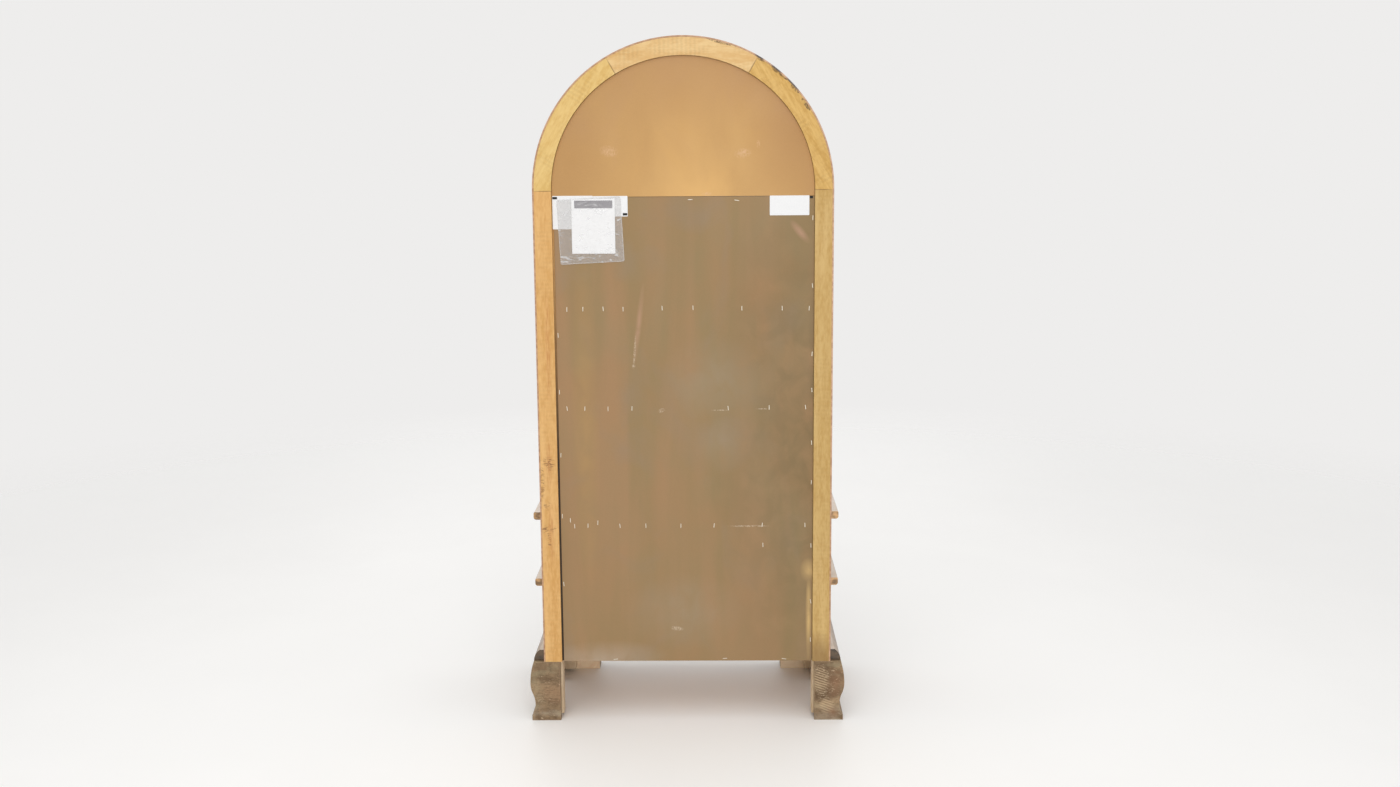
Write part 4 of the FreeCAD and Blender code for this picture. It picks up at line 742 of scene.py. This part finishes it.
def make_staples():
    """Wire staples that hold the lower panel to the shelves and the frame: one is bent, and the rest are
    copies, each a little out of true. Those along the panel's ends lie level."""
    staple = begin("staples", bpy.ops.mesh.primitive_cube_add, size=1)
    staple.scale = (STAPLE_WIRE * MM, STAPLE_RISE * MM, STAPLE_CROWN * MM)
    bpy.ops.object.transform_apply(scale=True)
    bpy.ops.object.mode_set(mode="EDIT")
    leg_start = (STAPLE_CROWN / 2 - STAPLE_WIRE) * MM
    for level in (leg_start, -leg_start):
        bpy.ops.mesh.select_all(action="SELECT")
        bpy.ops.mesh.bisect(plane_co=(0, 0, level), plane_no=(0, 0, 1))
    bpy.ops.mesh.select_mode(type="FACE")
    bpy.ops.mesh.select_all(action="DESELECT")
    bpy.ops.object.mode_set(mode="OBJECT")
    for face in staple.data.polygons:
        face.select = abs(face.center.z) > leg_start and face.normal.y < -0.9
    bpy.ops.object.mode_set(mode="EDIT")
    bpy.ops.mesh.extrude_region_move(TRANSFORM_OT_translate={"value": (0, -STAPLE_LEG * MM, 0)})
    bpy.ops.object.mode_set(mode="OBJECT")
    apply(staple, "BEVEL", width=STAPLE_EDGE * MM, segments=2, limit_method="ANGLE")
    places = [(x, z) for z, row in STAPLE_ROWS.items() for x in row] + STAPLE_STRAYS + LEVEL_STAPLES
    places += [(LEFT_EDGE, z) for z in LEFT_EDGE_STAPLES]
    places += [(RIGHT_EDGE, z) for z in RIGHT_EDGE_STAPLES]
    hand = random.Random(7)
    copies = []
    for x, z in places:
        copy = staple.copy()
        copy.data = staple.data.copy()
        bpy.context.collection.objects.link(copy)
        lift = PANEL_FACE + STAPLE_RISE / 2 - hand.uniform(0, STAPLE_SINK)
        copy.location = (x * MM, lift * MM, (z + hand.uniform(-STAPLE_DRIFT, STAPLE_DRIFT)) * MM)
        turn = 90 if (x, z) in LEVEL_STAPLES else 0
        copy.rotation_euler = (0, math.radians(turn + hand.gauss(0, STAPLE_TURN)), 0)
        copies.append(copy)
    bpy.data.objects.remove(staple)
    deselect()
    for copy in copies:
        copy.select_set(True)
    bpy.context.view_layer.objects.active = copies[0]
    bpy.ops.object.join()
    joined = bpy.context.object
    joined.name = joined.data.name = "staples"
    settle(joined, galvanised_wire("galvanised_wire"))


# Sheets on the back: left, right, low and high sides.
LABEL_THICKNESS = 0.2
LABELS = {
    "label_right": (-319, -219, 1342, 1391.5),
    "label_left_small": (140.5, 227.5, 1341.5, 1393),
    "label_left_large": (228, 331, 1310, 1394),
}
TABS = {
    "tab_left_high": (318.5, 330.5, 1385.5, 1391.5),
    "tab_left_low": (141.5, 153, 1344, 1350),
    "tab_right": (-328, -320, 1384, 1390),
}
SHEET_CUTS = 6
SHEET_CORNER = 1.5


def make_sheet(name, sides, face, thickness, material, bow=0.0):
    """A paper sheet with small round corners on the back, bowed by a height in its middle."""
    left, right, low, high = sides
    sheet = begin(name, bpy.ops.mesh.primitive_plane_add, size=1, rotation=(-math.pi / 2, 0, 0))
    sheet.scale = ((right - left) * MM, (high - low) * MM, 1)
    sheet.location = ((left + right) / 2 * MM, (face + thickness) * MM, (low + high) / 2 * MM)
    bpy.ops.object.transform_apply(location=True, rotation=True, scale=True)
    bpy.ops.object.mode_set(mode="EDIT")
    bpy.ops.mesh.select_all(action="SELECT")
    bpy.ops.mesh.bevel(offset=SHEET_CORNER * MM, segments=3, affect="VERTICES")
    bpy.ops.mesh.select_all(action="SELECT")
    for number in range(1, SHEET_CUTS):
        level = low + (high - low) * number / SHEET_CUTS
        bpy.ops.mesh.bisect(plane_co=(0, 0, level * MM), plane_no=(0, 0, 1))
        bpy.ops.mesh.select_all(action="SELECT")
    if bow:
        middle = (low + high) / 2
        select(sheet, lambda point: abs(point.z / MM - middle) < (high - low) / SHEET_CUTS / 2)
        bpy.ops.transform.translate(value=(0, bow * MM, 0))
    bpy.ops.object.mode_set(mode="OBJECT")
    apply(sheet, "SOLIDIFY", thickness=thickness * MM, offset=-1)
    return settle(sheet, material)


LEAFLET = (173, 283, 1248, 1387)
LEAFLET_BAND = (179, 275.5, 1362.5, 1382)
LEAFLET_THICKNESS, LEAFLET_BOW, LEAFLET_SINK = 0.15, 0.3, 0.3
POUCH_CUTS = 22
# The rim of the pouch is flattened in turns: how far in from its edge, and to what share.
POUCH_RIM = ((0.5, 0.12), (9, 0.55), (17, 0.9))
CREASE_SIZE, CREASE_DEPTH = 30, 0.9


def make_pouch():
    """A flat bag of clear film, welded round its rim and creased, that leans a little to one side."""
    pouch = begin("pouch", bpy.ops.mesh.primitive_cube_add, size=1)
    pouch.scale = (POUCH_SIDES[0] * MM, POUCH_THICKNESS * MM, POUCH_SIDES[1] * MM)
    middle_depth = (POUCH_FACE + POUCH_THICKNESS / 2) * MM
    middle = Vector((POUCH_MIDDLE[0] * MM, middle_depth, POUCH_MIDDLE[1] * MM))
    pouch.location = middle
    bpy.ops.object.transform_apply(location=True, scale=True)
    bpy.ops.object.mode_set(mode="EDIT")
    bpy.ops.mesh.select_all(action="SELECT")
    bpy.ops.mesh.subdivide(number_cuts=POUCH_CUTS)
    half_width, half_height = (side / 2 * MM for side in POUCH_SIDES)

    def from_edge(point):
        across = half_width - abs(point.x - middle.x)
        upright = half_height - abs(point.z - middle.z)
        return min(across, upright)

    for reach, share in POUCH_RIM:
        select(pouch, lambda point: from_edge(point) < reach * MM)
        bpy.ops.transform.resize(value=(1, share, 1), center_override=middle)
    bpy.ops.mesh.select_all(action="SELECT")
    lean = math.radians(-POUCH_LEAN)
    bpy.ops.transform.rotate(value=lean, orient_axis="Y", center_override=middle)
    bpy.ops.object.mode_set(mode="OBJECT")
    creases = bpy.data.textures.new("pouch_creases", "CLOUDS")
    creases.noise_scale = CREASE_SIZE * MM
    depth = CREASE_DEPTH * MM
    apply(pouch, "DISPLACE", texture=creases, texture_coords="LOCAL", strength=depth, mid_level=0.5)
    apply(pouch, "SUBSURF", levels=1, render_levels=1)
    bpy.ops.object.shade_smooth()
    settle(pouch, clear_film("clear_polythene"))
    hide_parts("document_pouch")


make_staples()
plain_paper = paper("label_paper", "#ebebea", "#dfdfe0")
for label, sides in LABELS.items():
    make_sheet(label, sides, PANEL_FACE, LABEL_THICKNESS, plain_paper)
black_tape = paper("black_paper_tape", "#0d0c0b", "#161412")
for tab, sides in TABS.items():
    make_sheet(tab, sides, PANEL_FACE + LABEL_THICKNESS, LABEL_THICKNESS, black_tape)
leaflet_paper = paper("leaflet_paper", "#f9f9f9", "#eeeeef", LEAFLET_BAND)
leaflet_face = POUCH_FACE + POUCH_THICKNESS / 2 - LEAFLET_SINK
make_sheet("leaflet", LEAFLET, leaflet_face, LEAFLET_THICKNESS, leaflet_paper, LEAFLET_BOW)
make_pouch()

# The studio: a plain pale floor that fades into the pale background, with soft light from all round.
FLOOR_RADIUS = 5
FLOOR_SIDES = 96
floor = begin(
    "floor", bpy.ops.mesh.primitive_circle_add, radius=FLOOR_RADIUS, vertices=FLOOR_SIDES, fill_type="NGON"
)
floor_paint, tree, place = start_material("floor_paint")
spots = add(tree, "Mapping", {"Vector": place, "Scale": per_mm(400, 400, 400)})
wear = add(tree, "TexNoise", {"Vector": spots, "Scale": 1, "Detail": 3})
colour = add(tree, "Mix", {"Factor": wear, "A": "#fdfcfa", "B": "#f9f8f6"}, data_type="RGBA")
distance = add(tree, "VectorMath", {0: place}, operation="LENGTH")
fade = {"From Min": FLOOR_RADIUS * 0.95, "From Max": FLOOR_RADIUS * 0.35}
alpha = add(tree, "MapRange", {"Value": distance, **fade})
shader = {"Base Color": colour, "Alpha": alpha, "Roughness": 0.6}
floor.data.materials.append(finish_material(floor_paint, shader))

BACKDROP = "#eeedec"
SKY_STRENGTH = 0.62
world = bpy.data.worlds.new("studio")
bpy.context.scene.world = world
world.use_nodes = True
tree = world.node_tree
tree.nodes.clear()
rays = add(tree, "LightPath").outputs
seen = add(tree, "Math", {0: rays["Is Camera Ray"], 1: rays["Is Glossy Ray"]}, operation="MAXIMUM")
seen = add(tree, "Math", {0: seen, 1: rays["Is Transmission Ray"]}, operation="MAXIMUM")
backdrop = add(tree, "Background", {"Color": BACKDROP, "Strength": 1})
sky = add(tree, "Background", {"Color": "#ffffff", "Strength": SKY_STRENGTH})
both = add(tree, "MixShader", {0: seen, 1: sky, 2: backdrop})
add(tree, "OutputWorld", {"Surface": both})

# Area lamps: place and width in metres, and power in watts.
LAMPS = {
    "key": ((0.3, 3.2, 4.0), 3.0, 57),
    "low": ((-0.9, 6.6, 0.9), 2.4, 84),
    "top": ((0, 0.2, 4.6), 3.0, 40),
    "front": ((0.2, -6.6, 2.8), 5.0, 80),
}
AIM = Vector((0, 0, 0.9))
for lamp_name, (spot, size, power) in LAMPS.items():
    lamp = bpy.data.lights.new(lamp_name, "AREA")
    lamp.shape, lamp.size, lamp.energy = "SQUARE", size, power
    lamp_object = bpy.data.objects.new(lamp_name, lamp)
    lamp_object.location = spot
    lamp_object.rotation_euler = (AIM - Vector(spot)).to_track_quat("-Z", "Y").to_euler()
    bpy.context.collection.objects.link(lamp_object)

# The camera, solved from the square back: sensor and lens in millimetres, place in metres, turns in degrees.
SENSOR_WIDTH, LENS = 36, 36.944
CAMERA_PLACE = (-0.0841, 3.8756, 1.4982)
CAMERA_TURNS = (80.504, 0.391, -179.366)
camera = bpy.data.cameras.new("camera")
camera.sensor_fit, camera.sensor_width, camera.lens = "HORIZONTAL", SENSOR_WIDTH, LENS
camera_object = bpy.data.objects.new("camera", camera)
camera_object.location = CAMERA_PLACE
camera_object.rotation_euler = [math.radians(angle) for angle in CAMERA_TURNS]
bpy.context.collection.objects.link(camera_object)
bpy.context.scene.camera = camera_object
bpy.context.scene.view_settings.view_transform = "Standard"
